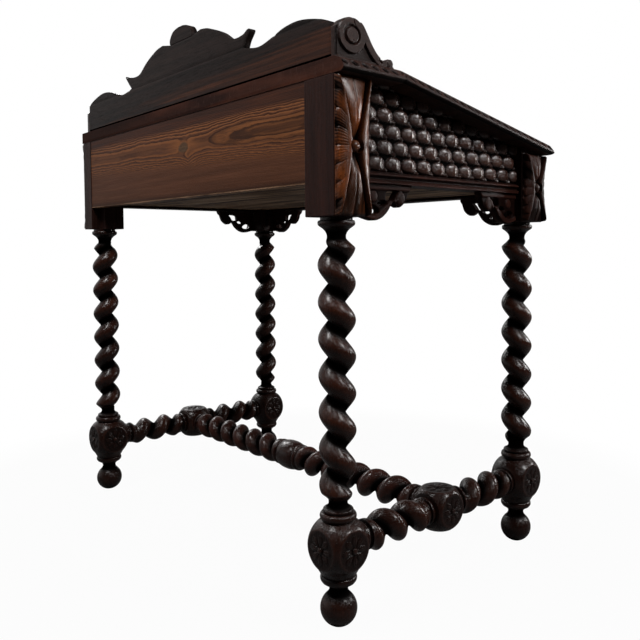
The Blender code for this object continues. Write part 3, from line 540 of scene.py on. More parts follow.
MATERIALS = {
    "leg": wood("oak_turned_upright", UPRIGHT, OAK, OAK_WORN, **TURNED),
    "side_rod": wood("oak_turned_lengthways", LENGTHWAYS, OAK, OAK_WORN, **TURNED),
    "cross_rod": wood("oak_turned_across", ACROSS, OAK, RAIL_WORN, **TURNED),
    "post": wood("oak_post", UPRIGHT, POST_STAIN, OAK_WORN, gloss=0.50, shine=0.06, streak=0.5),
    "leaf": wood("oak_leaf", UPRIGHT, LEAF_STAIN, LEAF_WORN, gloss=0.30, shine=0.21),
    "panel": wood("oak_panel_along", LENGTHWAYS, OAK, SCALE_WORN, **SCALED),
    "front": wood("oak_panel_across", ACROSS, OAK, SCALE_WORN, **SCALED),
    "leaf_dark": wood("oak_leaf_dark", UPRIGHT, OAK, DARK_LEAF_WORN, gloss=0.44, shine=0.05),
    "rail": wood("oak_rail_along", LENGTHWAYS, OAK, RAIL_WORN, **MOULDED),
    "front_rail": wood("oak_rail_across", ACROSS, OAK, RAIL_WORN, **MOULDED),
    "bracket": wood("oak_bracket", LENGTHWAYS, OAK, RAIL_WORN, gloss=0.44, shine=0.035),
    "top": wood("oak_top", ACROSS, OAK, OAK_WORN, gloss=0.44, shine=0.10, streak=0.6),
    "gallery": wood("oak_gallery", ACROSS, GALLERY_STAIN, GALLERY_WORN, gloss=0.50, shine=0.06, streak=0.65,
                    touch=redder_foot_and_gap_shadow),
    "shelf": wood("oak_shelf", ACROSS, OAK, OAK_WORN, gloss=0.44, shine=0.12, touch=dark_back_edge),
    "wing": wood("oak_wing", LENGTHWAYS, OAK, OAK_WORN, gloss=0.42, shine=0.12),
    "board": wood("pine_boards", ACROSS, BOARD, BOARD_WORN, gloss=0.60, shine=0.05, streak=0.6,
                  touch=cracked_boards),
    "pine": pine_back(),
    "brass": metal("tarnished_brass", (0.42, 0.28, 0.10), (0.12, 0.08, 0.04), 0.28),
    "steel": metal("dull_steel", (0.30, 0.29, 0.28), (0.10, 0.08, 0.07), 0.30),
}


# Making pieces

def piece(name, points, faces, finish, nodes=(), body="table", wear_and_shade=None, crease=40):
    """One visible piece; the share for each point runs from hollow, darkened by grime and painted shade, to
    rubbed high spot.
    """
    mesh = bpy.data.meshes.new(name)
    mesh.from_pydata([tuple(point) for point in points], [], [tuple(face) for face in faces])
    shares = np.full(len(points), 0.5) if wear_and_shade is None else np.asarray(wear_and_shade, float)
    mesh.attributes.new("wear_and_shade", "FLOAT", "POINT").data.foreach_set("value", np.clip(shares, 0, 1))
    bm = bmesh.new()
    bm.from_mesh(mesh)
    bmesh.ops.remove_doubles(bm, verts=bm.verts, dist=1e-6)
    bmesh.ops.recalc_face_normals(bm, faces=bm.faces)
    bm.to_mesh(mesh)
    bm.free()
    mesh.shade_smooth()
    mesh.set_sharp_from_angle(angle=math.radians(crease))
    mesh.materials.append(MATERIALS[finish])
    thing = bpy.data.objects.new(name, mesh)
    bpy.context.scene.collection.objects.link(thing)
    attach(thing, body)
    if nodes:
        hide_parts(*nodes)
    return thing


def dress(node, finish):
    """Give a solid that stays in view its finish."""
    mesh = frame["nodes"][node].data
    mesh.materials.clear()
    mesh.materials.append(MATERIALS[finish])


def soften(thing, width):
    """Round the sharp edges of a sawn piece."""
    step = thing.modifiers.new("soft edges", "BEVEL")
    step.width = width
    step.segments = 2
    step.limit_method = "ANGLE"
    step.angle_limit = math.radians(35)
    step.harden_normals = True


def carve_out(thing, tools):
    """Cut tool shapes, given as points and faces, out of a piece for good.

    Points that a cut adds get middling wear.
    """
    for points, faces in tools:
        known = {tuple(round(value, 5) for value in vertex.co) for vertex in thing.data.vertices}
        mesh = bpy.data.meshes.new("tool")
        mesh.from_pydata(points, [], faces)
        bm = bmesh.new()
        bm.from_mesh(mesh)
        bmesh.ops.recalc_face_normals(bm, faces=bm.faces)
        bm.to_mesh(mesh)
        bm.free()
        tool = bpy.data.objects.new("tool", mesh)
        bpy.context.scene.collection.objects.link(tool)
        step = thing.modifiers.new("cut", "BOOLEAN")
        step.object = tool
        step.solver = "EXACT"
        shape = bpy.context.evaluated_depsgraph_get()
        cut = bpy.data.meshes.new_from_object(thing.evaluated_get(shape))
        thing.modifiers.clear()
        for vertex, share in zip(cut.vertices, cut.attributes["wear_and_shade"].data):
            if tuple(round(value, 5) for value in vertex.co) not in known:
                share.value = 0.5
        thing.data = cut
        bpy.data.objects.remove(tool)


def grid_faces(rows, columns, wrap=False):
    """Quads of a grid of points kept row by row; wrap joins the last column to the first."""
    quads = []
    for row in range(rows - 1):
        low = row * columns
        high = low + columns
        for column in range(columns if wrap else columns - 1):
            after = (column + 1) % columns
            quads.append((low + column, low + after, high + after, high + column))
    return quads


def tube_faces(rings, columns):
    """Faces of a tube of points kept ring by ring, closed at both ends."""
    last = (rings - 1) * columns
    ends = [tuple(range(columns)), tuple(range(last, last + columns))]
    return grid_faces(rings, columns, True) + ends


def circle(radius, count):
    """Points of a circle about the origin."""
    return [(radius * math.cos(a), radius * math.sin(a)) for a in 2 * np.pi * np.arange(count) / count]


def prism(outline, near, far, place=lambda u, v, w: (u, v, w)):
    """Solid between two copies of an outline; place(u, v, w) gives the point in space."""
    count = len(outline)
    points = [place(u, v, near) for u, v in outline] + [place(u, v, far) for u, v in outline]
    faces = [tuple(range(count)), tuple(range(count, 2 * count))]
    for i in range(count):
        after = (i + 1) % count
        faces.append((i, after, count + after, count + i))
    return points, faces


def smooth_curve(points, steps):
    """Points along a smooth curve through the points given (Catmull-Rom)."""
    curve = []
    last = len(points) - 1
    for i in range(last):
        before = Vector(points[max(i - 1, 0)])
        start = Vector(points[i])
        end = Vector(points[i + 1])
        after = Vector(points[min(i + 2, last)])
        for step in range(steps):
            t = step / steps
            bend = 2 * before - 5 * start + 4 * end - after
            twist = 3 * start - before - 3 * end + after
            curve.append(tuple(start + 0.5 * t * (end - before + t * (bend + t * twist))))
    curve.append(tuple(points[last]))
    return curve


def rise(value, low, high):
    """0 below low, 1 above high, smooth between."""
    share = np.clip((value - low) / (high - low), 0, 1)
    return share * share * (3 - 2 * share)


def wobble(u, v, size):
    """Gentle unevenness of handwork, about -1 to 1, repeating over several sizes."""
    u, v = u / size, v / size
    return (np.sin(u + 1.7 * np.sin(v * 0.7)) + np.sin(v * 1.3 + 2.1 * np.sin(u * 0.6))) / 2


def distance_to(points, path, closed=False):
    """Distance of each point from a polyline."""
    path = np.asarray(path, float)
    ends = np.roll(path, -1, axis=0) if closed else path[1:]
    starts = path if closed else path[:-1]
    best = np.full(len(points), 1e9)
    for start, end in zip(starts, ends):
        along = end - start
        share = np.clip((points - start) @ along / max(along @ along, 1e-15), 0, 1)
        best = np.minimum(best, np.hypot(*(points - start - share[:, None] * along).T))
    return best


def inside(points, loops):
    """Whether each point lies in an outline with holes."""
    answer = np.zeros(len(points), bool)
    for loop in loops:
        loop = np.asarray(loop, float)
        for (u0, v0), (u1, v1) in zip(loop, np.roll(loop, -1, axis=0)):
            if v0 != v1:
                crosses = (v0 > points[:, 1]) != (v1 > points[:, 1])
                answer ^= crosses & (points[:, 0] < u0 + (points[:, 1] - v0) * (u1 - u0) / (v1 - v0))
    return answer


def evenly(loop, spacing):
    """The loop with points no further apart than the spacing."""
    result = []
    for start, end in zip(loop, loop[1:] + loop[:1]):
        steps = max(1, math.ceil(math.dist(start, end) / spacing))
        start, end = np.array(start), np.array(end)
        result += [tuple(start + (end - start) * k / steps) for k in range(steps)]
    return result


def carved_plate(loops, spacing, thick, place, carve):
    """Plate with a carved face; carve(points, edge distance) gives heights about the face.

    place(u, v, w) has w outward from the face. Returns points, faces and heights.
    """
    loops = [evenly(loop, spacing) for loop in loops]
    border = [Vector(point) for loop in loops for point in loop]
    edges = []
    first = 0
    for loop in loops:
        edges += [(first + i, first + (i + 1) % len(loop)) for i in range(len(loop))]
        first += len(loop)

    # Points on a grid of triangles, clear of the border
    outer = np.array(loops[0])
    low, high = outer.min(axis=0), outer.max(axis=0)
    rows = np.arange(low[1], high[1], spacing * 0.87)
    seeds = []
    for i, v in enumerate(rows):
        seeds += [(u, v) for u in np.arange(low[0] + spacing / 2 * (i % 2), high[0], spacing)]
    seeds = np.array(seeds)
    seeds = seeds[inside(seeds, loops)]
    gap = np.min([distance_to(seeds, loop, True) for loop in loops], axis=0)
    fill = [Vector(seed) for seed in seeds[gap > 0.55 * spacing]]
    flat, _, triangles, *_ = delaunay_2d_cdt(border + fill, edges, [], 0, 1e-8)
    flat = np.array([tuple(point) for point in flat])
    middles = flat[np.array(triangles)].mean(axis=1)
    triangles = [face for face, keep in zip(triangles, inside(middles, loops)) if keep]

    # Carved face, flat back and the sides between them
    rim = np.min([distance_to(flat, loop, True) for loop in loops], axis=0)
    heights = carve(flat, rim)
    count = len(flat)
    points = [place(u, v, w) for (u, v), w in zip(flat, heights)]
    points += [place(u, v, -thick) for u, v in flat]
    faces = [tuple(face) for face in triangles]
    faces += [tuple(count + i for i in face) for face in triangles]
    sides = dict.fromkeys(side for face in triangles for side in zip(face, face[1:] + face[:1]))
    for start, end in sides:
        if (end, start) not in sides:
            faces.append((start, end, count + end, count + start))
    return points, faces, np.concatenate([heights, np.zeros(count)])


def groove(distance, width, depth):
    """Height of a rounded cut, deepest where the distance is 0."""
    return -depth * np.exp(-(distance / width) ** 2)


# Turned pieces

ANGLES = 2 * np.pi * np.arange(SIDES) / SIDES


def level_rows(profile):
    """Rows of a round profile: height, radii and wear of each."""
    # Small radii lie in hollows and are darkened: grime and painted shade
    return [(height, np.full(SIDES, radius), np.full(SIDES, 0.45 * rise(radius, *WEAR_AND_SHADE_RADII)))
            for height, radius in profile]


def ring(low, high, inner, outer, steps=12):
    """Half-round ring of a turned profile."""
    return [(low + (high - low) * (1 - math.cos(t)) / 2, inner + (outer - inner) * math.sin(t))
            for t in np.linspace(0, math.pi, steps + 1)]


def twist_rows(start, end, turns, hand, phase, crest, close):
    """Rows of a one-rib twist that closes to a level radius at both ends."""
    pitch = (end - start) / turns
    rows = []
    for height in np.linspace(start, end, math.ceil((end - start) / TWIST_STEP)):
        turn = (height - (start + end) / 2) / pitch - phase - hand * ANGLES / (2 * np.pi)
        across = 2 * (turn - np.round(turn))
        rib = VALLEY_RADIUS + (crest - VALLEY_RADIUS) * np.maximum(1 - across ** 2, 0) ** 1.5
        fade = min(1, min(height - start, end - height) / (0.25 * pitch))
        radius = close + (rib - close) * fade
        # The valleys between the ribs are darkened: grime and painted shade
        rows.append((height, radius, rise(radius, *WEAR_AND_SHADE_RADII)))
    return rows


def block_rows(middle, ball, flat, carved_flat, carved):
    """Rows of a ball block with four flats; carved lists the quarter turns cut deeper for a flower."""
    reach = BLOCK_REACH * math.sqrt(ball ** 2 - flat ** 2)
    rows = []
    for offset in np.linspace(-reach, reach, math.ceil(2 * reach / BLOCK_STEP)):
        round_radius = math.sqrt(ball ** 2 - offset ** 2)
        radius = np.full(SIDES, round_radius)
        wear_and_shade = np.full(SIDES, 0.40)
        for quarter in range(4):
            facing = np.maximum(np.cos(ANGLES - quarter * np.pi / 2), 0.5)
            cut = (carved_flat if quarter in carved else flat) / facing
            radius = -ARRIS * np.logaddexp(-radius / ARRIS, -cut / ARRIS)
            # Paler along the flats' edges: rubbed arrises with painted highlight; the flats themselves less
            # rubbed
            edge = np.exp(-((cut - round_radius) / 0.0012) ** 2)
            wear_and_shade = np.where(cut < round_radius, 0.22, wear_and_shade) + 0.5 * edge
        rows.append((middle + offset, radius, wear_and_shade))
    return rows


def rosette(flat, quarter, radius):
    """Flower carved on a flat of a block, about the block's middle: points, faces and wear."""
    rings, spokes = 26, 128
    bead = 0.20               # share of the flower's radius
    points, wear_and_shade = [], []
    for share in np.linspace(0.02, 1, rings):
        for angle in 2 * np.pi * np.arange(spokes) / spokes:
            sector = angle * PETALS / (2 * np.pi)
            aside = 2 * abs(sector - round(sector))
            along = np.clip((share - bead) / (1 - bead), 0, 1)
            wide = 0.06 + 0.90 * math.sin(math.pi * (0.12 + 0.86 * along)) ** 0.8
            full = math.sqrt(max(0, 1 - (aside / wide) ** 2))
            full *= math.sin(math.pi * (0.06 + 0.90 * along)) ** 0.6
            height = PETAL_HEIGHT * full - 0.0005 * math.exp(-(aside / 0.10) ** 2) * full
            if share < bead:
                height = 0.0014 + 0.0024 * math.sqrt(1 - (share / 0.205) ** 2)
            out = flat - 0.0005 + height * (share < 0.99)
            reach = share * radius
            points.append((out, reach * math.cos(angle), reach * math.sin(angle)))
            # Low in the flower's hollows, which darkens them: grime and painted shade
            wear_and_shade.append(0.10 + height * 110)
    turn = Matrix.Rotation(quarter * math.pi / 2, 3, "Z")
    return [turn @ Vector(point) for point in points], tube_faces(rings, spokes), wear_and_shade


def turned_piece(name, rows, matrix, finish, rosettes=()):
    """Skin through rows along the matrix's Z axis, closed at both ends, with carved flowers."""
    points, wear_and_shade = [], []
    for height, radius, rubbed in rows:
        for angle, reach in zip(ANGLES, radius):
            points.append((reach * math.cos(angle), reach * math.sin(angle), height))
        wear_and_shade.append(rubbed)
    faces = tube_faces(len(rows), SIDES)
    wear_and_shade = list(np.concatenate(wear_and_shade))
    for middle, flat, quarter, radius in rosettes:
        petals, quads, rubbed = rosette(flat, quarter, radius)
        first = len(points)
        points += [(x, y, z + middle) for x, y, z in petals]
        faces += [tuple(first + i for i in quad) for quad in quads]
        wear_and_shade += rubbed
    points = [matrix @ Vector(point) for point in points]
    piece(f"turned_{name}", points, faces, finish, [name], wear_and_shade=wear_and_shade, crease=24)


def leg(name, x, y, hand, phase, free_quarters):
    """Leg: ball foot, flared collar, ball block with flowers, rings, twist and top collar."""
    low = STRETCHER_Z - BLOCK_RADIUS
    high = STRETCHER_Z + BLOCK_RADIUS
    foot_top = low * 0.72
    foot_tall = foot_top * 0.515
    sole, shoulder = 66, 52   # degrees of the ball, below and above its middle
    foot_middle = foot_tall * math.sin(math.radians(sole))
    foot = []
    for degrees in np.linspace(-sole, shoulder, 24):
        angle = math.radians(degrees)
        foot.append((foot_middle + foot_tall * math.sin(angle), FOOT_RADIUS * math.cos(angle)))
    collar = COLLAR_RADIUS
    neck = smooth_curve([foot[-1], (foot_top - 0.001, NECK_RADIUS), (foot_top + 0.005, NECK_RADIUS * 1.08),
                         (low * 0.86, collar * 0.80)], 5)[1:]
    below = neck + [(low * 0.88, collar * 0.90)] + ring(low * 0.905, low * 1.02, collar * 0.93, collar)
    start = high + 0.020
    end = POST_BOTTOM_Z - 0.031
    above = ring(high - 0.0075, high + 0.0035, collar * 0.86, collar * 1.0, 10)
    above += ring(high + 0.004, high + 0.0095, collar * 0.74, collar * 0.83)
    above += [(high + 0.0125, NECK_RADIUS * 1.12), (high + 0.016, NECK_RADIUS), (start, NECK_RADIUS)]
    top = POST_BOTTOM_Z
    cap = smooth_curve([(end, NECK_RADIUS), (top - 0.026, NECK_RADIUS), (top - 0.021, NECK_RADIUS * 1.15),
                        (top - 0.0165, collar * 0.74), (top - 0.0135, collar * 0.90)], 4)
    cap += ring(top - 0.0125, top - 0.0048, collar * 0.93, collar, 8)
    cap += [(top - 0.0044, collar * 0.866), (top - GAP, collar * 0.866)]
    cap += [(top - GAP, TENON_RADIUS), (top + TENON_LENGTH, TENON_RADIUS)]
    rows = level_rows(foot + below)
    rows += block_rows(STRETCHER_Z, BLOCK_RADIUS, BLOCK_FLAT, FLOWER_FLAT, free_quarters)
    rows += level_rows(above)
    rows += twist_rows(start, end, LEG_TURNS, hand, phase, CREST_RADIUS, NECK_RADIUS)
    rows += level_rows(cap)
    flowers = [(STRETCHER_Z, FLOWER_FLAT, quarter, FLOWER_RADIUS) for quarter in free_quarters]
    turned_piece(name, rows, Matrix.Translation((x, y, 0)), "leg", flowers)


def rod_end(flat, outward):
    """Two rings and a collar where a stretcher meets a block, from the block's face inwards."""
    face = flat - outward * GAP
    collar = COLLAR_RADIUS
    rim = ring(face, face - outward * 0.0070, collar * 0.78, collar * 0.84, 6)
    rim += ring(face - outward * 0.0072, face - outward * 0.0110, collar * 0.68, collar * 0.74, 6)
    for depth, share in ((0.0114, 0.88), (0.0126, 0.88), (0.0132, 1), (0.016, 1)):
        rim.append((face - outward * depth, ROD_END_RADIUS * share))
    return [(face, 0.009)] + rim


def rod_twist(start, end, turns, hand, phase):
    """Rows of a stretcher's twist."""
    return twist_rows(start, end, turns, hand, phase, ROD_CREST_RADIUS, ROD_END_RADIUS)


def side_stretcher(name, x, front_twist, back_twist):
    """Stretcher from front leg to back leg, with a flowered ball block in the middle."""
    flat = (BACK_LEG_Y - FRONT_LEG_Y) / 2 - BLOCK_FLAT
    near = rod_end(-flat, -1)
    far = rod_end(flat, 1)[::-1]
    reach = math.sqrt(MID_RADIUS ** 2 - MID_FLAT ** 2) * BLOCK_REACH
    collar = COLLAR_RADIUS
    lead = []
    for depth, share in ((0.016, 1), (0.0138, 1), (0.0132, 0.88), (0.0120, 0.88)):
        lead.append((-reach - depth, ROD_END_RADIUS * share))
    lead += ring(-reach - 0.0116, -reach - 0.0078, collar * 0.68, collar * 0.74, 6)
    lead += ring(-reach - 0.0076, -reach - 0.0005, collar * 0.76, collar * 0.84, 6)
    trail = [(-height, radius) for height, radius in reversed(lead)]
    flowered = (0 if x > 0 else 2, 3)    # the outer flat and the top one
    rows = level_rows(near) + rod_twist(near[-1][0], lead[0][0], SIDE_TURNS, *front_twist)
    rows += level_rows(lead) + block_rows(0, MID_RADIUS, MID_FLAT, MID_FLOWER_FLAT, flowered)
    rows += level_rows(trail) + rod_twist(trail[-1][0], far[0][0], SIDE_TURNS, *back_twist) + level_rows(far)
    along = Matrix.Translation((x, MID_Y, STRETCHER_Z)) @ Matrix.Rotation(-math.pi / 2, 4, "X")
    flowers = [(0, MID_FLOWER_FLAT, quarter, MID_FLOWER_RADIUS) for quarter in flowered]
    turned_piece(name, rows, along, "side_rod", flowers)


def cross_stretcher(name):
    """Stretcher between the side stretchers, with a turned knop in the middle."""
    flat = LEG_X - MID_FLAT
    near = rod_end(-flat, -1)
    far = rod_end(flat, 1)[::-1]
    half = KNOP_LENGTH / 2
    knop = [(-half, ROD_END_RADIUS), (-half * 0.95, ROD_END_RADIUS), (-half * 0.93, KNOP_RADIUS * 0.62)]
    knop += ring(-half * 0.91, -half * 0.68, KNOP_RADIUS * 0.72, KNOP_RADIUS * 0.89)
    knop += [(-half * 0.64, KNOP_RADIUS * 0.74)]
    knop += smooth_curve([(-half * 0.62, KNOP_RADIUS * 0.80), (-half * 0.45, KNOP_RADIUS * 0.93),
                          (-half * 0.2, KNOP_RADIUS * 0.99), (0, KNOP_RADIUS)], 4)
    knop += [(-height, radius) for height, radius in reversed(knop[:-1])]
    rows = level_rows(near) + rod_twist(near[-1][0], -half, CROSS_TURNS, -1, CROSS_PHASE) + level_rows(knop)
    rows += rod_twist(half, far[0][0], CROSS_TURNS, 1, CROSS_PHASE) + level_rows(far)
    along = Matrix.Translation((0, MID_Y, STRETCHER_Z)) @ Matrix.Rotation(math.pi / 2, 4, "Y")
    turned_piece(name, rows, along, "cross_rod")


# Carved faces of the case

def carved_field(columns, rows, corner, carve, place, thick):
    """Slab whose face is a height field over a grid of shares s and t.

    corner(s, t) gives u and v, carve(u, v) the height and the wear.
    """
    s, t = np.meshgrid(np.linspace(0, 1, columns), np.linspace(0, 1, rows))
    u, v = corner(s, t)
    heights, wear_and_shade = carve(u, v)
    points = [place(*values) for values in zip(u.ravel(), v.ravel(), heights.ravel())]
    faces = grid_faces(rows, columns)

    # The rim once round, its copy on the flat back, and the sides between them
    rim = list(range(columns))
    rim += [row * columns + columns - 1 for row in range(1, rows)]
    rim += [(rows - 1) * columns + i for i in range(columns - 2, -1, -1)]
    rim += [row * columns for row in range(rows - 2, 0, -1)]
    first = len(points)
    flat_u, flat_v = u.ravel(), v.ravel()
    points += [place(flat_u[i], flat_v[i], -thick) for i in rim]
    count = len(rim)
    for i in range(count):
        after = (i + 1) % count
        faces.append((rim[i], rim[after], first + after, first + i))
    faces.append(tuple(range(first, first + count)))
    return points, faces, np.concatenate([wear_and_shade.ravel(), np.full(count, 0.4)])


def scales(u, v, middle):
    """Staggered ridged bosses with small pips between; v is up from the rail."""
    height = np.zeros_like(u)
    wear_and_shade = np.zeros_like(u)
    row_low = int(np.floor(v.min() / SCALE_ROW)) - 1
    row_high = int(np.ceil(v.max() / SCALE_ROW)) + 1
    for row in range(row_low, row_high + 1):
        shift = 0.5 * (row % 2 == 0)
        column = np.round((u - middle) / SCALE_COLUMN - shift)
        across = u - middle - (column + shift) * SCALE_COLUMN
        across = across + 0.0006 * np.sin(7.1 * column + 3.3 * row)
        up = v - (row + 0.5) * SCALE_ROW + 0.0005 * np.sin(5.3 * column + 1.9 * row)
        a = np.abs(across) / (SCALE_COLUMN * 0.485)
        b = np.abs(up) / (SCALE_ROW * 0.465)
        full = np.clip(1 - a ** 2.2 - b ** 2.2, 0, 1)
        ridge = np.clip(1 - np.sqrt(a ** 2 + 0.0015) + 0.039, 0, 1)
        boss = SCALE_HEIGHT * full ** 0.40 * (0.38 + 0.62 * ridge)
        boss = boss + 0.00017 * wobble(u, v, 0.0009) * (full > 0.05)
        # The ground between the bosses stays at 0 and is painted black: shade in the recesses, with grime;
        # bosses pale toward their middles
        wear_and_shade = np.where(boss > height, 0.10 + 0.90 * full ** 0.5, wear_and_shade)
        height = np.maximum(height, boss)
        over = np.abs(up - SCALE_ROW * 0.60)
        pip = np.clip(1 - (np.abs(across) / PIP_HALF_WIDTH + over / PIP_HALF_LENGTH), 0, 1)
        pip = PIP_HEIGHT * pip ** 0.6
        wear_and_shade = np.where(pip > height, 0.45, wear_and_shade)
        height = np.maximum(height, pip)
    return height, wear_and_shade


def scale_panel(name, low, high, top, place, finish):
    """Carved panel, u from low to high, v from the rail up to top(u)."""
    columns = math.ceil((high - low) / SCALE_STEP)
    rows = math.ceil(max(top(low), top(high)) / SCALE_STEP)

    def corner(s, t):
        u = low + (high - low) * s
        return u, GAP + (top(u) - GAP) * t

    points, faces, wear_and_shade = carved_field(
        columns, rows, corner, lambda u, v: scales(u, v, (low + high) / 2), place, PANEL_THICK)
    piece(f"carved_{name}", points, faces, finish, [name], wear_and_shade=wear_and_shade, crease=26)


def leaf_face(u, v, half, tall):
    """Four leaves about a bead: side leaves lobed and veined, end leaves smooth with a crease.

    A side leaf toward -u is painted evenly darker, as shade; the other one is rubbed by its lobes and veins,
    and darkened in its veins, notches and undercut outer edge by grime and painted shade.
    """
    a, b = np.abs(u) / half, np.abs(v) / tall
    border = 0.21 + 0.73 * b ** 1.5
    to_side = a - border

    # Side leaves, their veins, notches and undercut outer edge darkened by grime and painted shade, the one
    # toward -u evenly darker as painted shade
    swell = np.clip(to_side / np.maximum(1 - border, 0.05), 0, 1)
    outer = rise(swell, 0.25, 0.60)
    fan = (v / tall) / np.maximum(a, 0.05) ** 0.7 + 0.010 * wobble(u, v, 0.009)
    lobe = np.abs(np.sin(np.pi * LOBES / 2 * fan))
    vein = np.abs(np.sin(np.pi * LOBES / 2 * VEINS * fan))
    notch = (1 - lobe ** 0.35) * outer
    hatch = (1 - vein ** 0.45) * outer * np.clip(0.75 + 0.50 * wobble(u, v, 0.023), 0, 1)
    inset = np.clip((1.0 - np.where(u < 0, 0.04, 0.13) * (1 - lobe ** 0.5) - a) / 0.05, 0, 1)
    side = 0.10 + 0.90 * np.sin(np.pi * np.clip(0.36 + 0.58 * swell, 0, 1)) ** 0.9
    side = (side - 0.12 * notch - 0.07 * hatch) * (0.30 + 0.70 * inset ** 0.6)
    rubbed = 0.80 + 0.30 * wobble(u, v, 0.011) - 0.70 * hatch - 0.4 * notch - 0.20 * b
    rubbed = rubbed - 0.30 * rise(v / tall, 0.10, 0.45) - 0.15 * (1 - inset)
    rubbed = np.where(u < 0, 0.42 + 0.12 * wobble(u, v, 0.011) - 0.2 * hatch, rubbed)

    # End leaves: darkened along the groove beside the side leaves as painted shade; the upper one paler than
    # the lower, which darkens toward its bottom
    middle = np.clip(a / np.maximum(border, 0.02), 0, 1)
    tip = 0.14 + 0.80 * rise(b, 0.06, 0.42) - 0.75 * rise(b, 0.55, 1.15)
    tongue = tip * (0.25 + 0.75 * np.sqrt(np.clip(1 - middle ** 2.2, 0, 1)))
    tongue = tongue - 0.10 * np.exp(-(u / 0.0016) ** 2) * rise(b, 0.30, 0.45)
    smooth = 0.10 + rise(b, 0.10, 0.34) * np.where(v > 0, 0.78, 0.27) - 0.40 * rise(b, 0.40, 0.75) * (v > 0)
    smooth = smooth + 0.12 * wobble(u * 2.5, v * 0.25, 0.005) - 0.20 * rise(-v / tall, 0.35, 0.75)
    smooth = smooth - 0.6 * np.exp(-(to_side * half / 0.0022) ** 2)

    # Both, with a groove between them, and the bead
    height = np.where(to_side > 0, side, tongue)
    height = height - 0.24 * np.exp(-(to_side * half / 0.0016) ** 2)
    end = np.clip((1 - b) / 0.03, 0, 1)
    height = height * (0.25 + 0.75 * end ** 0.5)
    off = np.hypot(u, v) / BEAD_RADIUS
    height = np.where(off < 1.4, np.minimum(height, 0.25), height)
    height = np.where(off < 1, 0.45 + 0.55 * np.sqrt(np.clip(1 - off ** 2, 0, 1)), height)
    wear_and_shade = np.where(to_side > 0, rubbed, smooth)
    wear_and_shade = np.where(off < 1, 0.45, wear_and_shade)
    return LEAF_HEIGHT * np.clip(height, 0.05, 1), wear_and_shade


def post_leaf(name, bottom, top, place, finish):
    """Carved face of one post; place(u, v, w) has w outward from the post's face."""
    half = POST_SIDE / 2 - 0.001
    tall = (top - bottom) / 2 - 0.001
    middle = (top + bottom) / 2
    points, faces, wear_and_shade = carved_field(
        84, math.ceil(2 * tall / LEAF_STEP), lambda s, t: (half * (2 * s - 1), tall * (2 * t - 1)),
        lambda u, v: leaf_face(u, v, half, tall),
        lambda u, v, w: place(u, middle + v, GAP + max(w, 0)), 0)
    piece(f"carved_{name}", points, faces, finish, [name], wear_and_shade=wear_and_shade, crease=70)


def moulded_rail(name, low, high, place, finish):
    """Bottom rail with a rounded moulding; place(u, o, v) has o from the post face."""
    inner = -PANEL_RECESS - PANEL_THICK
    top = RAIL_HEIGHT - GAP
    nose = [(-0.006 - 0.0012 * math.cos(t), 0.0012 + 0.0012 * math.sin(t)) for t in np.linspace(-1.5, 0.2, 4)]
    cove = smooth_curve([(-0.006, top * 0.24), (-0.0092, top * 0.31), (-0.0100, top * 0.44),
                         (-0.0088, top * 0.56)], 4)
    bead = [(-0.0078 + 0.0023 * math.cos(t), top * (0.70 + 0.10 * math.sin(t)))
            for t in np.linspace(-1.4, 1.4, 8)]
    slope = [(-0.0085, top * 0.83), (-0.012, top)]
    outline = [(inner - LIP_WIDTH, 0)] + nose + cove + bead + slope
    outline += [(inner, top), (inner, LIP_HEIGHT), (inner - LIP_WIDTH, LIP_HEIGHT)]
    points, faces = prism(outline, low, high, lambda o, v, u: place(u, o, v))
    wear_and_shade = [0.2 + 0.5 * (o > -0.0085) for o, v in outline] * 2
    piece(f"moulded_{name}", points, faces, finish, [name], wear_and_shade=wear_and_shade, crease=30)


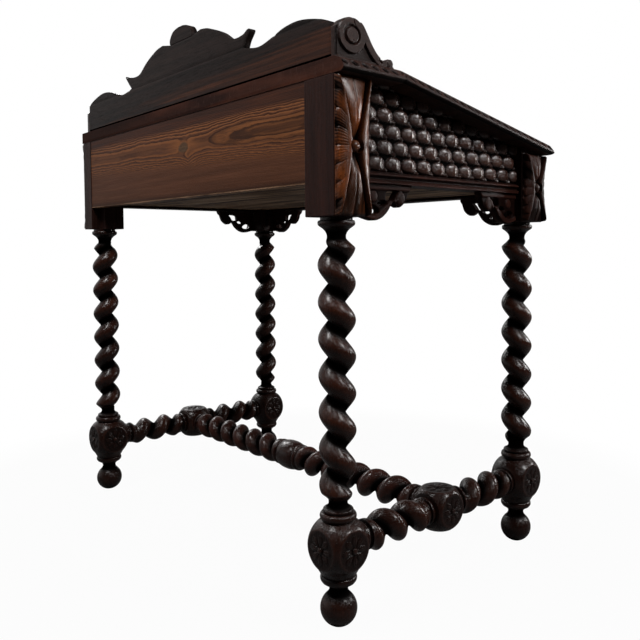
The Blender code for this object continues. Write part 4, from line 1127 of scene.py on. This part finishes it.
def bracket(name, place):
    """Pierced scroll bracket; place(d, drop, w) has d along the rail from the post, w inward."""
    across, down = BRACKET_WIDTH, BRACKET_DROP
    lower_edge = smooth_curve([(0.955, 0.20), (0.90, 0.44), (0.78, 0.60), (0.68, 0.56), (0.615, 0.47),
                               (0.56, 0.60), (0.48, 0.78), (0.37, 0.91), (0.25, 0.97), (0.12, 0.93),
                               (0, 0.87)], 6)
    outline = [(GAP, GAP), (across, GAP), (across, 0.08 * down)]
    outline += [(GAP + u * (across - GAP), v * down) for u, v in lower_edge]
    upper_hole = [(0.485, 0.40), (0.50, 0.22), (0.59, 0.175), (0.72, 0.18), (0.68, 0.27), (0.63, 0.41),
                  (0.55, 0.43)]
    small_hole = [(0.32, 0.52), (0.36, 0.46), (0.45, 0.45), (0.485, 0.50), (0.45, 0.55), (0.36, 0.565)]
    lower_hole = [(0.09, 0.64), (0.16, 0.585), (0.25, 0.60), (0.33, 0.69), (0.31, 0.775), (0.22, 0.80),
                  (0.14, 0.77)]
    holes = []
    for hole in (upper_hole, small_hole, lower_hole):
        curve = smooth_curve(hole + hole[:1], 3)[:-1]
        holes.append([(u * across, v * down) for u, v in curve])
    discs = ((0.77 * across, 0.36 * down, 0.0100), (0.23 * across, 0.34 * down, 0.0080))
    scroll = smooth_curve([(0.02, 0.82), (0.13, 0.89), (0.25, 0.89), (0.38, 0.81), (0.48, 0.66),
                           (0.58, 0.50), (0.70, 0.28)], 3)
    scroll = [(u * across, v * down) for u, v in scroll]

    # Where the slopes down to the ground begin and end, and how deep the ground lies
    band_edge = 0.15 * down, 0.19 * down
    scroll_edge = 0.0046, 0.0060
    ground = 0.0026

    def carve(points, rim):
        u, v = points.T
        off_scroll = distance_to(points, scroll)
        raised = np.maximum(1 - rise(v, *band_edge), 1 - rise(off_scroll, *scroll_edge))
        lines = groove(off_scroll - 0.0022, 0.0006, 0.0008)
        for middle_u, middle_v, radius in discs:
            off = np.hypot(u - middle_u, v - middle_v)
            dome = np.clip(1 - (off / (radius + 0.001)) ** 2, 0, 1)
            raised = np.maximum(raised, dome ** 0.5)
            lines = np.where(off < radius, 0, lines) + groove(off - radius - 0.0010, 0.0007, 0.0008)
        height = lines - ground * (1 - raised)
        return height - 0.0020 * (1 - np.clip(rim / 0.0022, 0, 1)) ** 2 * rise(v, 0.001, 0.004)

    points, faces, heights = carved_plate([outline] + holes, 0.0015, BRACKET_THICK,
                                          lambda u, v, w: place(u, v, -w), carve)
    # Darker on the sunk ground: grime and painted shade
    wear_and_shade = 0.14 + 0.30 * rise(heights, -0.0030, 0.0)
    piece(f"carved_{name}", points, faces, "bracket", [name], wear_and_shade=wear_and_shade, crease=55)


# Sawn pieces of the case

def post(name, x, y, rebated):
    """Square corner post under the shelf or the sloping lid, its foot bored for the leg.

    A rebated post takes the end of the back panel.
    """
    half = POST_SIDE / 2
    outline = [(x - half, y - half), (x + half, y - half), (x + half, y + half), (x - half, y + half)]
    if rebated:
        inner = x - half + BACK_REBATE
        outline[3:] = [(inner, y + half), (inner, BACK_PANEL_INNER_Y), (x - half, BACK_PANEL_INNER_Y)]
    points, faces = prism(outline, 0, 1, lambda u, v, w: (
        u, v, min(SHELF_UNDERSIDE_Z, lid_under_z(v)) - GAP if w else POST_BOTTOM_Z))
    thing = piece(f"sawn_{name}", points, faces, "post", [name], wear_and_shade=[0.45] * len(points))
    bore = prism(circle(BORE_RADIUS, 32), POST_BOTTOM_Z - 0.01, POST_BOTTOM_Z + BORE_DEPTH,
                 lambda u, v, w: (x + u, y + v, w))
    carve_out(thing, [bore])
    soften(thing, 0.0014)


def back_panel():
    """Plain board that fills its solid's box, its edges barely softened."""
    low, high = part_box("back_panel")
    outline = [(low.x, low.y), (high.x, low.y), (high.x, high.y), (low.x, high.y)]
    points, faces = prism(outline, low.z, high.z)
    thing = piece("sawn_back_panel", points, faces, "pine", ["back_panel"])
    soften(thing, 0.0003)


def bottom_boards():
    """Three boards under the well, the outer two notched round the posts."""
    wide = SIDE_FACE - PANEL_RECESS - PANEL_THICK - GAP
    narrow = POST_INNER_X - GAP
    front = FRONT_FACE + PANEL_RECESS + PANEL_THICK + GAP
    back = BACK_PANEL_INNER_Y - GAP
    front_seam = front + (back - front) * 0.36
    back_seam = front + (back - front) * 0.68
    low = CASE_BOTTOM_Z + LIP_HEIGHT + GAP
    notch_front = FRONT_POST_INNER_Y + GAP
    notch_back = BACK_POST_INNER_Y - GAP
    outlines = {
        "bottom_board_front": [(-narrow, front), (narrow, front), (narrow, notch_front), (wide, notch_front),
                               (wide, front_seam - GAP), (-wide, front_seam - GAP),
                               (-wide, notch_front), (-narrow, notch_front)],
        "bottom_board_middle": [(-wide, front_seam), (wide, front_seam),
                                (wide, back_seam - GAP), (-wide, back_seam - GAP)],
        "bottom_board_back": [(-wide, back_seam), (wide, back_seam), (wide, notch_back), (narrow, notch_back),
                              (narrow, back), (-narrow, back), (-narrow, notch_back), (-wide, notch_back)],
    }
    for name, outline in outlines.items():
        points, faces = prism(outline, low, low + BOARD_THICK)
        thing = piece(f"sawn_{name}", points, faces, "board", [name])
        soften(thing, 0.0012)


# Shelf, lid and hinges

EDGE_PROFILE = smooth_curve([(0.34, 0), (0.10, 0.12), (0, 0.23), (0, 0.29)], 3)
EDGE_PROFILE += smooth_curve([(0, 0.29), (0.09, 0.40), (0.24, 0.58), (0.50, 0.80), (1.15, 1)], 6)[1:]


def edge_carving(along, share):
    """Depth of the slanted oval pits and of the line below them, on a level of a carved edge."""
    if share in (0, 1):
        return np.zeros_like(along)
    step = along / PIT_SPACING
    off = (step - np.round(step)) * PIT_SPACING
    level = (share - PIT_SHARE) * EDGE_TALL
    aside = (off - PIT_SLANT * level) / PIT_HALF_LENGTH
    pit = np.clip(1 - aside ** 2 - (level / PIT_HALF_HEIGHT) ** 2, 0, 1)
    line = np.exp(-((share - LINE_SHARE) / 0.03) ** 2)
    return PIT_DEPTH * pit ** 0.5 + LINE_DEPTH * line


def edged_top(front, back, carved_front):
    """Slab of the top's width with carved ends; points about the hinge line, faces and wear.

    back(height) gives the place of the edge at the back, or at the hinge for the lid. The slab
    without a carved front is the shelf, whose right back corner is worn back.
    """
    side_steps = math.ceil(abs(front - back(0)) / EDGE_STEP)
    front_steps = math.ceil(2 * HALF_TOP / EDGE_STEP) if carved_front else 1
    side = np.linspace(0, 1, side_steps + 1)
    cross = np.linspace(0, 1, front_steps + 1)[1:-1]
    loops, wear_and_shade = [], []
    for inset_share, share in EDGE_PROFILE:
        inset = inset_share * EDGE_INSET
        height = (share - 1) * TOP_THICK
        near = front + (inset if carved_front else 0)
        along = back(height) + (near - back(height)) * side
        depth = edge_carving(along, share)
        if not carved_front:
            depth = depth * rise(side, 0, 0.01) * (1 - rise(side, 0.99, 1))
        left = np.stack([inset + depth * PIT_IN - HALF_TOP, along, height - depth * PIT_DOWN], 1)
        right = left[::-1] * (-1, 1, 1)
        if not carved_front:
            from_back = np.abs(right[:, 1] - back(height))
            kept = WORN_OVERHANG + (TOP_OVERHANG - WORN_OVERHANG) * rise(from_back, 0.003, 0.026)
            right[:, 0] = np.minimum(right[:, 0], SIDE_FACE + kept)
        x = -HALF_TOP + inset + 2 * (HALF_TOP - inset) * cross
        front_depth = edge_carving(x, share)
        nose = np.stack([x, near + front_depth * PIT_IN, height - front_depth * PIT_DOWN], 1)
        loops.append(np.concatenate([left, nose, right]))
        rubbed = np.concatenate([depth, front_depth, depth[::-1]])
        # Painted shade: the pits darkened by their depth, as grime and shade, and the chamfer rows under the
        # edge dark as the shade beneath it
        wear_and_shade.append(0.80 - rubbed / 0.0030 if share > 0.2 or share == 0 else np.full(len(rubbed), 0.10))
    return np.concatenate(loops), tube_faces(len(loops), len(loops[0])), np.concatenate(wear_and_shade)


def hinge_pocket(x, matrix):
    """Recess for one leaf and half the knuckle; the leaf lies along the matrix's +Y."""
    behind, above = -0.004, 0.001
    outline = [(behind, above), (HINGE_LEAF_WIDTH, above), (HINGE_LEAF_WIDTH, -HINGE_LEAF_DEPTH),
               (KNUCKLE_DEPTH, -HINGE_LEAF_DEPTH), (KNUCKLE_DEPTH, -KNUCKLE_DEPTH), (behind, -KNUCKLE_DEPTH)]
    return prism(outline, x - HINGE_HALF_LENGTH, x + HINGE_HALF_LENGTH,
                 lambda u, v, w: matrix @ Vector((w, u, v)))


def screws(name, x, matrix, body):
    """Three slotted screw heads let into one hinge leaf."""
    points, faces, first = [], [], 0
    for along, across in SCREW_PLACES:
        for half in (1, -1):
            head = [(u, v) for u, v in circle(SCREW_RADIUS, 24) if half * v >= -0.0001]
            flank = [(u, half * max(half * v, HALF_SLOT)) for u, v in head]
            cap, sides = prism(flank, SCREW_LOW, SCREW_HIGH,
                               lambda u, v, w: matrix @ Vector((x + along + u, across + v, w)))
            points += cap
            faces += [tuple(first + i for i in face) for face in sides]
            first = len(points)
    thing = piece(name, points, faces, "steel", body=body)
    soften(thing, 0.0002)


def shelf_lid_and_hinges():
    """Flat shelf, sloping lid with carved edges, pockets and screws of the two hinges."""
    axis = Matrix.Translation((0, HINGE_Y, SHELF_TOP_Z))
    on_lid = axis @ Matrix.Rotation(LID_SLOPE, 4, "X")
    points, faces, wear_and_shade = edged_top(LID_SEAM, lambda height: SHELF_DEPTH, False)
    shelf = piece("carved_top_shelf", [axis @ Vector(p) for p in points], faces, "shelf",
                  ["top_shelf"], wear_and_shade=wear_and_shade, crease=45)
    nose = (NOSE_Y - HINGE_Y) / math.cos(LID_SLOPE) + TOP_THICK * 0.85 * math.tan(LID_SLOPE)
    points, faces, wear_and_shade = edged_top(nose, lambda height: height * math.tan(LID_SLOPE) - LID_SEAM, True)
    lid = piece("carved_lid", [on_lid @ Vector(p) for p in points], faces, "top",
                ["lid"], "lid", wear_and_shade, crease=45)
    over_lid = on_lid @ Matrix.Scale(-1, 4, (0, 1, 0))
    carve_out(shelf, [hinge_pocket(x, axis) for x in (-HINGE_X, HINGE_X)])
    carve_out(lid, [hinge_pocket(x, over_lid) for x in (-HINGE_X, HINGE_X)])
    for side, x in (("left", -HINGE_X), ("right", HINGE_X)):
        screws(f"screws_fixed_{side}", x, axis, "table")
        screws(f"screws_moving_{side}", x, over_lid, "lid")
        for node in (f"hinge_fixed_leaf_{side}", f"hinge_moving_leaf_{side}"):
            dress(node, "brass")
        dress(f"hinge_pin_{side}", "steel")


# Gallery

def gallery_board():
    """Shaped board of two planks along the back of the shelf."""
    half = SIDE_FACE - WING_THICK - GAP
    foot = SHELF_TOP_Z + GAP
    shoulder = smooth_curve([(1, 0.46), (0.935, 0.54), (0.83, 0.605), (0.74, 0.585), (0.66, 0.51),
                             (0.58, 0.46), (0.487, 0.51)], 6)
    hook = smooth_curve([(0.487, 0.51), (0.52, 0.62), (0.548, 0.735), (0.50, 0.70)], 6)
    hump = smooth_curve([(0.50, 0.70), (0.45, 0.678), (0.395, 0.70), (0.325, 0.84), (0.23, 0.965),
                         (0.165, 1)], 6)
    claw = smooth_curve([(0.487, 0.51), (0.500, 0.60), (0.521, 0.68), (0.528, 0.718), (0.521, 0.742),
                         (0.506, 0.735), (0.483, 0.697), (0.45, 0.678)], 6)
    seat = [(CREST_HALF_WIDTH / half, CREST_SEAT / GALLERY_HEIGHT)]
    right = shoulder + hook[1:] + hump[1:] + seat
    left = shoulder + claw[1:] + hump[7:] + seat
    profile = [(1, 0)] + right + [(-u, v) for u, v in reversed(left)] + [(-1, 0)]

    def lean(x):
        return GALLERY_TILT * math.copysign(max(abs(x) - CREST_HALF_WIDTH, 0), x)

    outline = [(u * half, foot + v * GALLERY_HEIGHT + (lean(u * half) if v else 0)) for u, v in profile]
    joint = [(-half, PLANK_JOINT_Z), (half, PLANK_JOINT_Z)]

    def carve(points, rim):
        rounded = -0.0008 * (1 - np.clip(rim / 0.0020, 0, 1)) ** 2
        return rounded + groove(distance_to(points, joint), 0.0009, 0.0012)

    points, faces, heights = carved_plate([outline], 0.0030, GALLERY_BACK_Y - GALLERY_FRONT_Y,
                                          lambda u, v, w: (u, GALLERY_BACK_Y + w, v), carve)
    # Darker in the joint's groove and along the rounded rim: grime and painted shade
    wear_and_shade = 0.45 + heights * 250
    piece("sawn_gallery_board", points, faces, "gallery", ["gallery_board"], wear_and_shade=wear_and_shade, crease=50)


def gallery_wing(name, side):
    """Scrolled wing at one end of the gallery: volute, leaf tail and end knob on a sunk ground."""
    foot = SHELF_TOP_Z + GAP
    shape = [(0, 0)] + smooth_curve([(0, 0.74), (0.085, 0.908), (0.19, 0.99), (0.33, 1), (0.436, 0.89),
                                     (0.51, 0.706), (0.60, 0.454), (0.69, 0.269), (0.786, 0.155)], 5)
    shape += smooth_curve([(0.786, 0.155), (0.845, 0.19), (0.92, 0.232), (0.99, 0.165), (1, 0)], 6)[1:]
    outline = [(u * WING_LENGTH, v * WING_HEIGHT) for u, v in shape]
    slope = [(u, v) for u, v in outline if 0.040 < u < 0.088 and v > 0.005]

    # Places and half sizes; an edge is where a slope down to the ground begins and ends
    volute_u, volute_v, volute_wide, volute_tall = 0.0275, 0.0345, 0.0255, 0.0250
    eye_v, eye_wide, eye_tall = 0.0350, 0.0140, 0.0125
    pit_u, pit_v = 0.029, 0.0275
    knob_u, knob_v, knob_groove = 0.1027, 0.0063, 0.0046
    knob_edge = 0.0066, 0.0076
    tail_edge = 0.0118, 0.0130
    tail_start = 0.044, 0.046
    foot_edge = 0.0030, 0.0042
    ground = 0.0036
    slit = [(0.030, 0.0565), (0.0335, 0.0475)]
    crease = [(0.0865, 0.0045), (0.0800, 0.0100), (0.0905, 0.0110)]

    def carve(points, rim):
        u, v = points.T
        off_knob = np.hypot(u - knob_u, v - knob_v)
        disc = np.hypot((u - volute_u) / volute_wide, (v - volute_v) / volute_tall)
        volute = 1 - rise(disc, 0.985, 1.035)
        tail = (1 - rise(distance_to(points, slope), *tail_edge)) * rise(u, *tail_start)
        knob = 1 - rise(off_knob, *knob_edge)
        foot_band = 1 - rise(v, *foot_edge)
        height = -ground * (1 - np.max([volute, tail, knob, foot_band * 0.55], axis=0))
        eye = np.hypot((u - volute_u) / eye_wide, (v - eye_v) / eye_tall)
        angle = np.arctan2(v - eye_v, u - volute_u)
        wide = 0.0012 + 0.0011 * rise(-np.cos(angle), -0.3, 0.9)
        height = height + groove((eye - 1) * 0.0130, wide, 0.0034) + 0.0008 * np.clip(1 - eye, 0, 1)
        height = height + groove(np.hypot(u - pit_u, v - pit_v), 0.0010, 0.0022)
        height = height + groove(distance_to(points, slit), 0.0008, 0.0018)
        height = height + groove(distance_to(points, crease), 0.0009, 0.0022)
        height = height + groove(off_knob - knob_groove, 0.0008, 0.0014) * (u < 0.1040)
        return height - 0.0012 * (1 - np.clip(rim / 0.0022, 0, 1)) ** 2 * rise(v, 0.0005, 0.003)

    points, faces, heights = carved_plate(
        [outline], 0.0011, WING_THICK,
        lambda u, v, w: (side * (SIDE_FACE + min(w, 0)), GALLERY_BACK_Y - u, foot + v), carve)
    # Darker on the sunk ground and in the cut lines: grime and painted shade
    piece(f"carved_{name}", points, faces, "wing", [name], wear_and_shade=0.66 + heights * 110, crease=55)


def gallery_crest():
    """Rounded leaf crest on the middle of the gallery, fluted on the side of the writer."""
    seat = SHELF_TOP_Z + GAP + CREST_SEAT + GAP
    edge = smooth_curve([(0.98, 0), (0.98, 0.34), (0.72, 0.80), (0.3, 0.98), (0, 1)], 6)
    shape = edge + [(-u, v) for u, v in reversed(edge[:-1])]
    outline = [(u * CREST_HALF_WIDTH, v * CREST_HEIGHT) for u, v in shape]
    fan_drop = 0.008          # of the flutes' middle, below the seat

    def carve(points, rim):
        u, v = points.T
        angle = np.arctan2(v + fan_drop, u)
        out = rise(np.hypot(u, v + fan_drop), 0.008, 0.016)
        flutes = 0.0016 * (1 - np.abs(np.sin(angle * 4.5)) ** 0.6) * out
        return -0.0045 * (1 - np.clip(rim / 0.008, 0, 1)) ** 2 - flutes

    points, faces, heights = carved_plate(
        [outline], 0.0014, GALLERY_BACK_Y - GALLERY_FRONT_Y + CREST_FORWARD,
        lambda u, v, w: (u, GALLERY_FRONT_Y - CREST_FORWARD - w, seat + v), carve)
    # Darker in the flutes and on the rounded rim: grime and painted shade
    thing = piece("carved_gallery_crest", points, faces, "gallery", ["gallery_crest"],
                  wear_and_shade=0.55 + heights * 120, crease=55)
    soften(thing, 0.0015)


# The table

def build_table():
    """All pieces, each at its solid's place."""
    corners = (           # name, side, place in depth, hand and phase of the leg's twist
        ("back_left", -1, BACK_LEG_Y, -1, 0.0),
        ("back_right", 1, BACK_LEG_Y, 1, 0.36),
        ("front_left", -1, FRONT_LEG_Y, -1, 0.44),
        ("front_right", 1, FRONT_LEG_Y, 1, 0.81),
    )
    for corner, side, y, hand, phase in corners:
        free = (0, 1, 2) if y > 0 else (0, 2, 3)
        leg(f"leg_{corner}", side * LEG_X, y, hand, phase, free)
        post(f"post_{corner}", side * LEG_X, y, corner == "back_right")
        leaf_top = min(SHELF_UNDERSIDE_Z, lid_under_z(y - POST_SIDE / 2)) - GAP
        post_leaf(f"leaf_{corner}_side", POST_BOTTOM_Z, leaf_top,
                  lambda u, v, w: (side * (SIDE_FACE + w), y + u, v), "leaf" if y > 0 else "leaf_dark")

    low = FRONT_POST_INNER_Y + GAP
    high = BACK_POST_INNER_Y - GAP
    leaf_top = lid_under_z(FRONT_FACE - LEAF_HEIGHT) - GAP
    for hand, side in (("left", -1), ("right", 1)):
        post_leaf(f"leaf_front_{hand}_front", POST_BOTTOM_Z, leaf_top,
                  lambda u, v, w: (side * LEG_X + u, FRONT_FACE - w, v), "leaf_dark")
        scale_panel(f"side_panel_{hand}", low, high,
                    lambda u: np.minimum(SHELF_UNDERSIDE_Z, lid_under_z(u)) - RAIL_TOP_Z - GAP,
                    lambda u, v, w: (side * (SIDE_FACE - PANEL_RECESS + w), u, RAIL_TOP_Z + v), "panel")
        moulded_rail(f"side_rail_{hand}", low, high,
                     lambda u, o, v: (side * (SIDE_FACE + o), u, CASE_BOTTOM_Z + v), "rail")
        side_stretcher(f"side_stretcher_{hand}", side * LEG_X, (-1, 0.2), (1, 0.6) if side < 0 else (-1, 0.3))
        if hand == "left":
            bracket(f"bracket_side_back_{hand}", lambda d, drop, w: (
                side * (SIDE_FACE - BRACKET_RECESS - w), BACK_POST_INNER_Y - d, CASE_BOTTOM_Z - drop))
        bracket(f"bracket_side_front_{hand}", lambda d, drop, w: (
            side * (SIDE_FACE - BRACKET_RECESS - w), FRONT_POST_INNER_Y + d, CASE_BOTTOM_Z - drop))
        bracket(f"bracket_front_{hand}", lambda d, drop, w: (
            side * (POST_INNER_X - d), FRONT_FACE + BRACKET_RECESS + w, CASE_BOTTOM_Z - drop))
        gallery_wing(f"gallery_wing_{hand}", side)

    wide = POST_INNER_X - GAP
    front_top = lid_under_z(FRONT_FACE + PANEL_RECESS - SCALE_HEIGHT) - RAIL_TOP_Z - GAP
    scale_panel("front_panel", -wide, wide, lambda u: front_top + 0 * u,
                lambda u, v, w: (u, FRONT_FACE + PANEL_RECESS - w, RAIL_TOP_Z + v), "front")
    moulded_rail("front_rail", -wide, wide,
                 lambda u, o, v: (u, FRONT_FACE - o, CASE_BOTTOM_Z + v), "front_rail")
    back_panel()
    bottom_boards()
    cross_stretcher("cross_stretcher")
    shelf_lid_and_hinges()
    gallery_board()
    gallery_crest()


# Studio

def studio_floor():
    """Grey floor that the camera sees as nearly white, with a soft shadow."""
    far = FLOOR_REACH
    corners = [(-far, -far, 0), (far, -far, 0), (far, far, 0), (-far, far, 0)]
    mesh = bpy.data.meshes.new("studio_floor")
    mesh.from_pydata(corners, [], [(0, 1, 2, 3)])
    floor = bpy.data.objects.new("studio_floor", mesh)
    bpy.context.scene.collection.objects.link(floor)
    s = Shader("studio_floor")
    s.set(Base_Color=FLOOR_GREY, Roughness=0.9, Specular_IOR_Level=0.0)
    away = s.output("ShaderNodeVectorMath", {0: s.here}, "Value", operation="LENGTH")
    seen = s.output("ShaderNodeLightPath", {}, "Is Camera Ray")
    white = s.output("ShaderNodeEmission", {"Color": WHITE, "Strength": 1.0})
    share = s.ramp(away, (0.0, 0.96), (0.80, 0.97), (1.0, 1.0)) * seen
    blend = s.output("ShaderNodeMixShader", {0: share, 1: Value(s, s.surface.outputs[0]), 2: white})
    s.feed(s.tree.nodes["Material Output"].inputs["Surface"], blend)
    mesh.materials.append(s.material)


def studio_backdrop():
    """White to the camera and to mirrored rays toward one side, nearly dark as a light."""
    world = bpy.data.worlds.new("studio")
    bpy.context.scene.world = world
    world.use_nodes = True
    sky = Nodes(world.node_tree)
    direction = sky.output("ShaderNodeTexCoord", {}, "Generated")
    facing = sky.output("ShaderNodeVectorMath", {0: direction, 1: BACKDROP_SIDE}, "Value",
                        operation="DOT_PRODUCT")
    behind = sky.output("ShaderNodeMapRange", {"Value": facing, "From Min": 0.1, "From Max": 0.9})
    ray = {output.name: Value(sky, output) for output in sky.add("ShaderNodeLightPath", {}).outputs}
    mirrored = sky.largest(ray["Is Glossy Ray"], ray["Is Transmission Ray"])
    shown = sky.largest(ray["Is Camera Ray"], mirrored * behind)
    ambient = sky.output("ShaderNodeBackground", {"Color": WHITE, "Strength": AMBIENT})
    backdrop = sky.output("ShaderNodeBackground", {"Color": WHITE, "Strength": 1.0})
    light = sky.output("ShaderNodeMixShader", {0: shown, 1: ambient, 2: backdrop})
    sky.feed(sky.tree.nodes["World Output"].inputs["Surface"], light)


def softbox(name, place, target, size, watts):
    """Soft rectangular lamp that looks at its target."""
    lamp = bpy.data.lights.new(name, "AREA")
    lamp.shape = "RECTANGLE"
    lamp.size, lamp.size_y = size
    lamp.energy = watts
    thing = bpy.data.objects.new(name, lamp)
    thing.location = place
    thing.rotation_euler = (Vector(target) - Vector(place)).to_track_quat("-Z", "Y").to_euler()
    bpy.context.scene.collection.objects.link(thing)


def camera():
    """Camera solved from the photo: low, behind the table's back left corner."""
    yaw, pitch, roll = (math.radians(value) for value in CAMERA_DEGREES)
    forward = Vector((math.cos(yaw) * math.cos(pitch), math.sin(yaw) * math.cos(pitch), math.sin(pitch)))
    level = forward.cross(Vector((0, 0, 1))).normalized()
    upright = level.cross(forward)
    right = level * math.cos(roll) + upright * math.sin(roll)
    up = upright * math.cos(roll) - level * math.sin(roll)
    data = bpy.data.cameras.new("camera")
    data.sensor_width = SENSOR_WIDTH
    data.lens = FOCAL_PIXELS * SENSOR_WIDTH / PHOTO_PIXELS
    data.shift_x = (PHOTO_PIXELS / 2 - CENTRE_PIXEL_X) / PHOTO_PIXELS
    data.shift_y = (CENTRE_PIXEL_Y - PHOTO_PIXELS / 2) / PHOTO_PIXELS
    thing = bpy.data.objects.new("camera", data)
    turn = Matrix((right, up, -forward)).transposed().to_4x4()
    thing.matrix_world = Matrix.Translation(CAMERA_PLACE) @ turn
    bpy.context.scene.collection.objects.link(thing)
    bpy.context.scene.camera = thing


build_table()
studio_floor()
studio_backdrop()
for lamp in LAMPS:
    softbox(*lamp)
camera()
bpy.context.scene.view_settings.view_transform = "Standard"
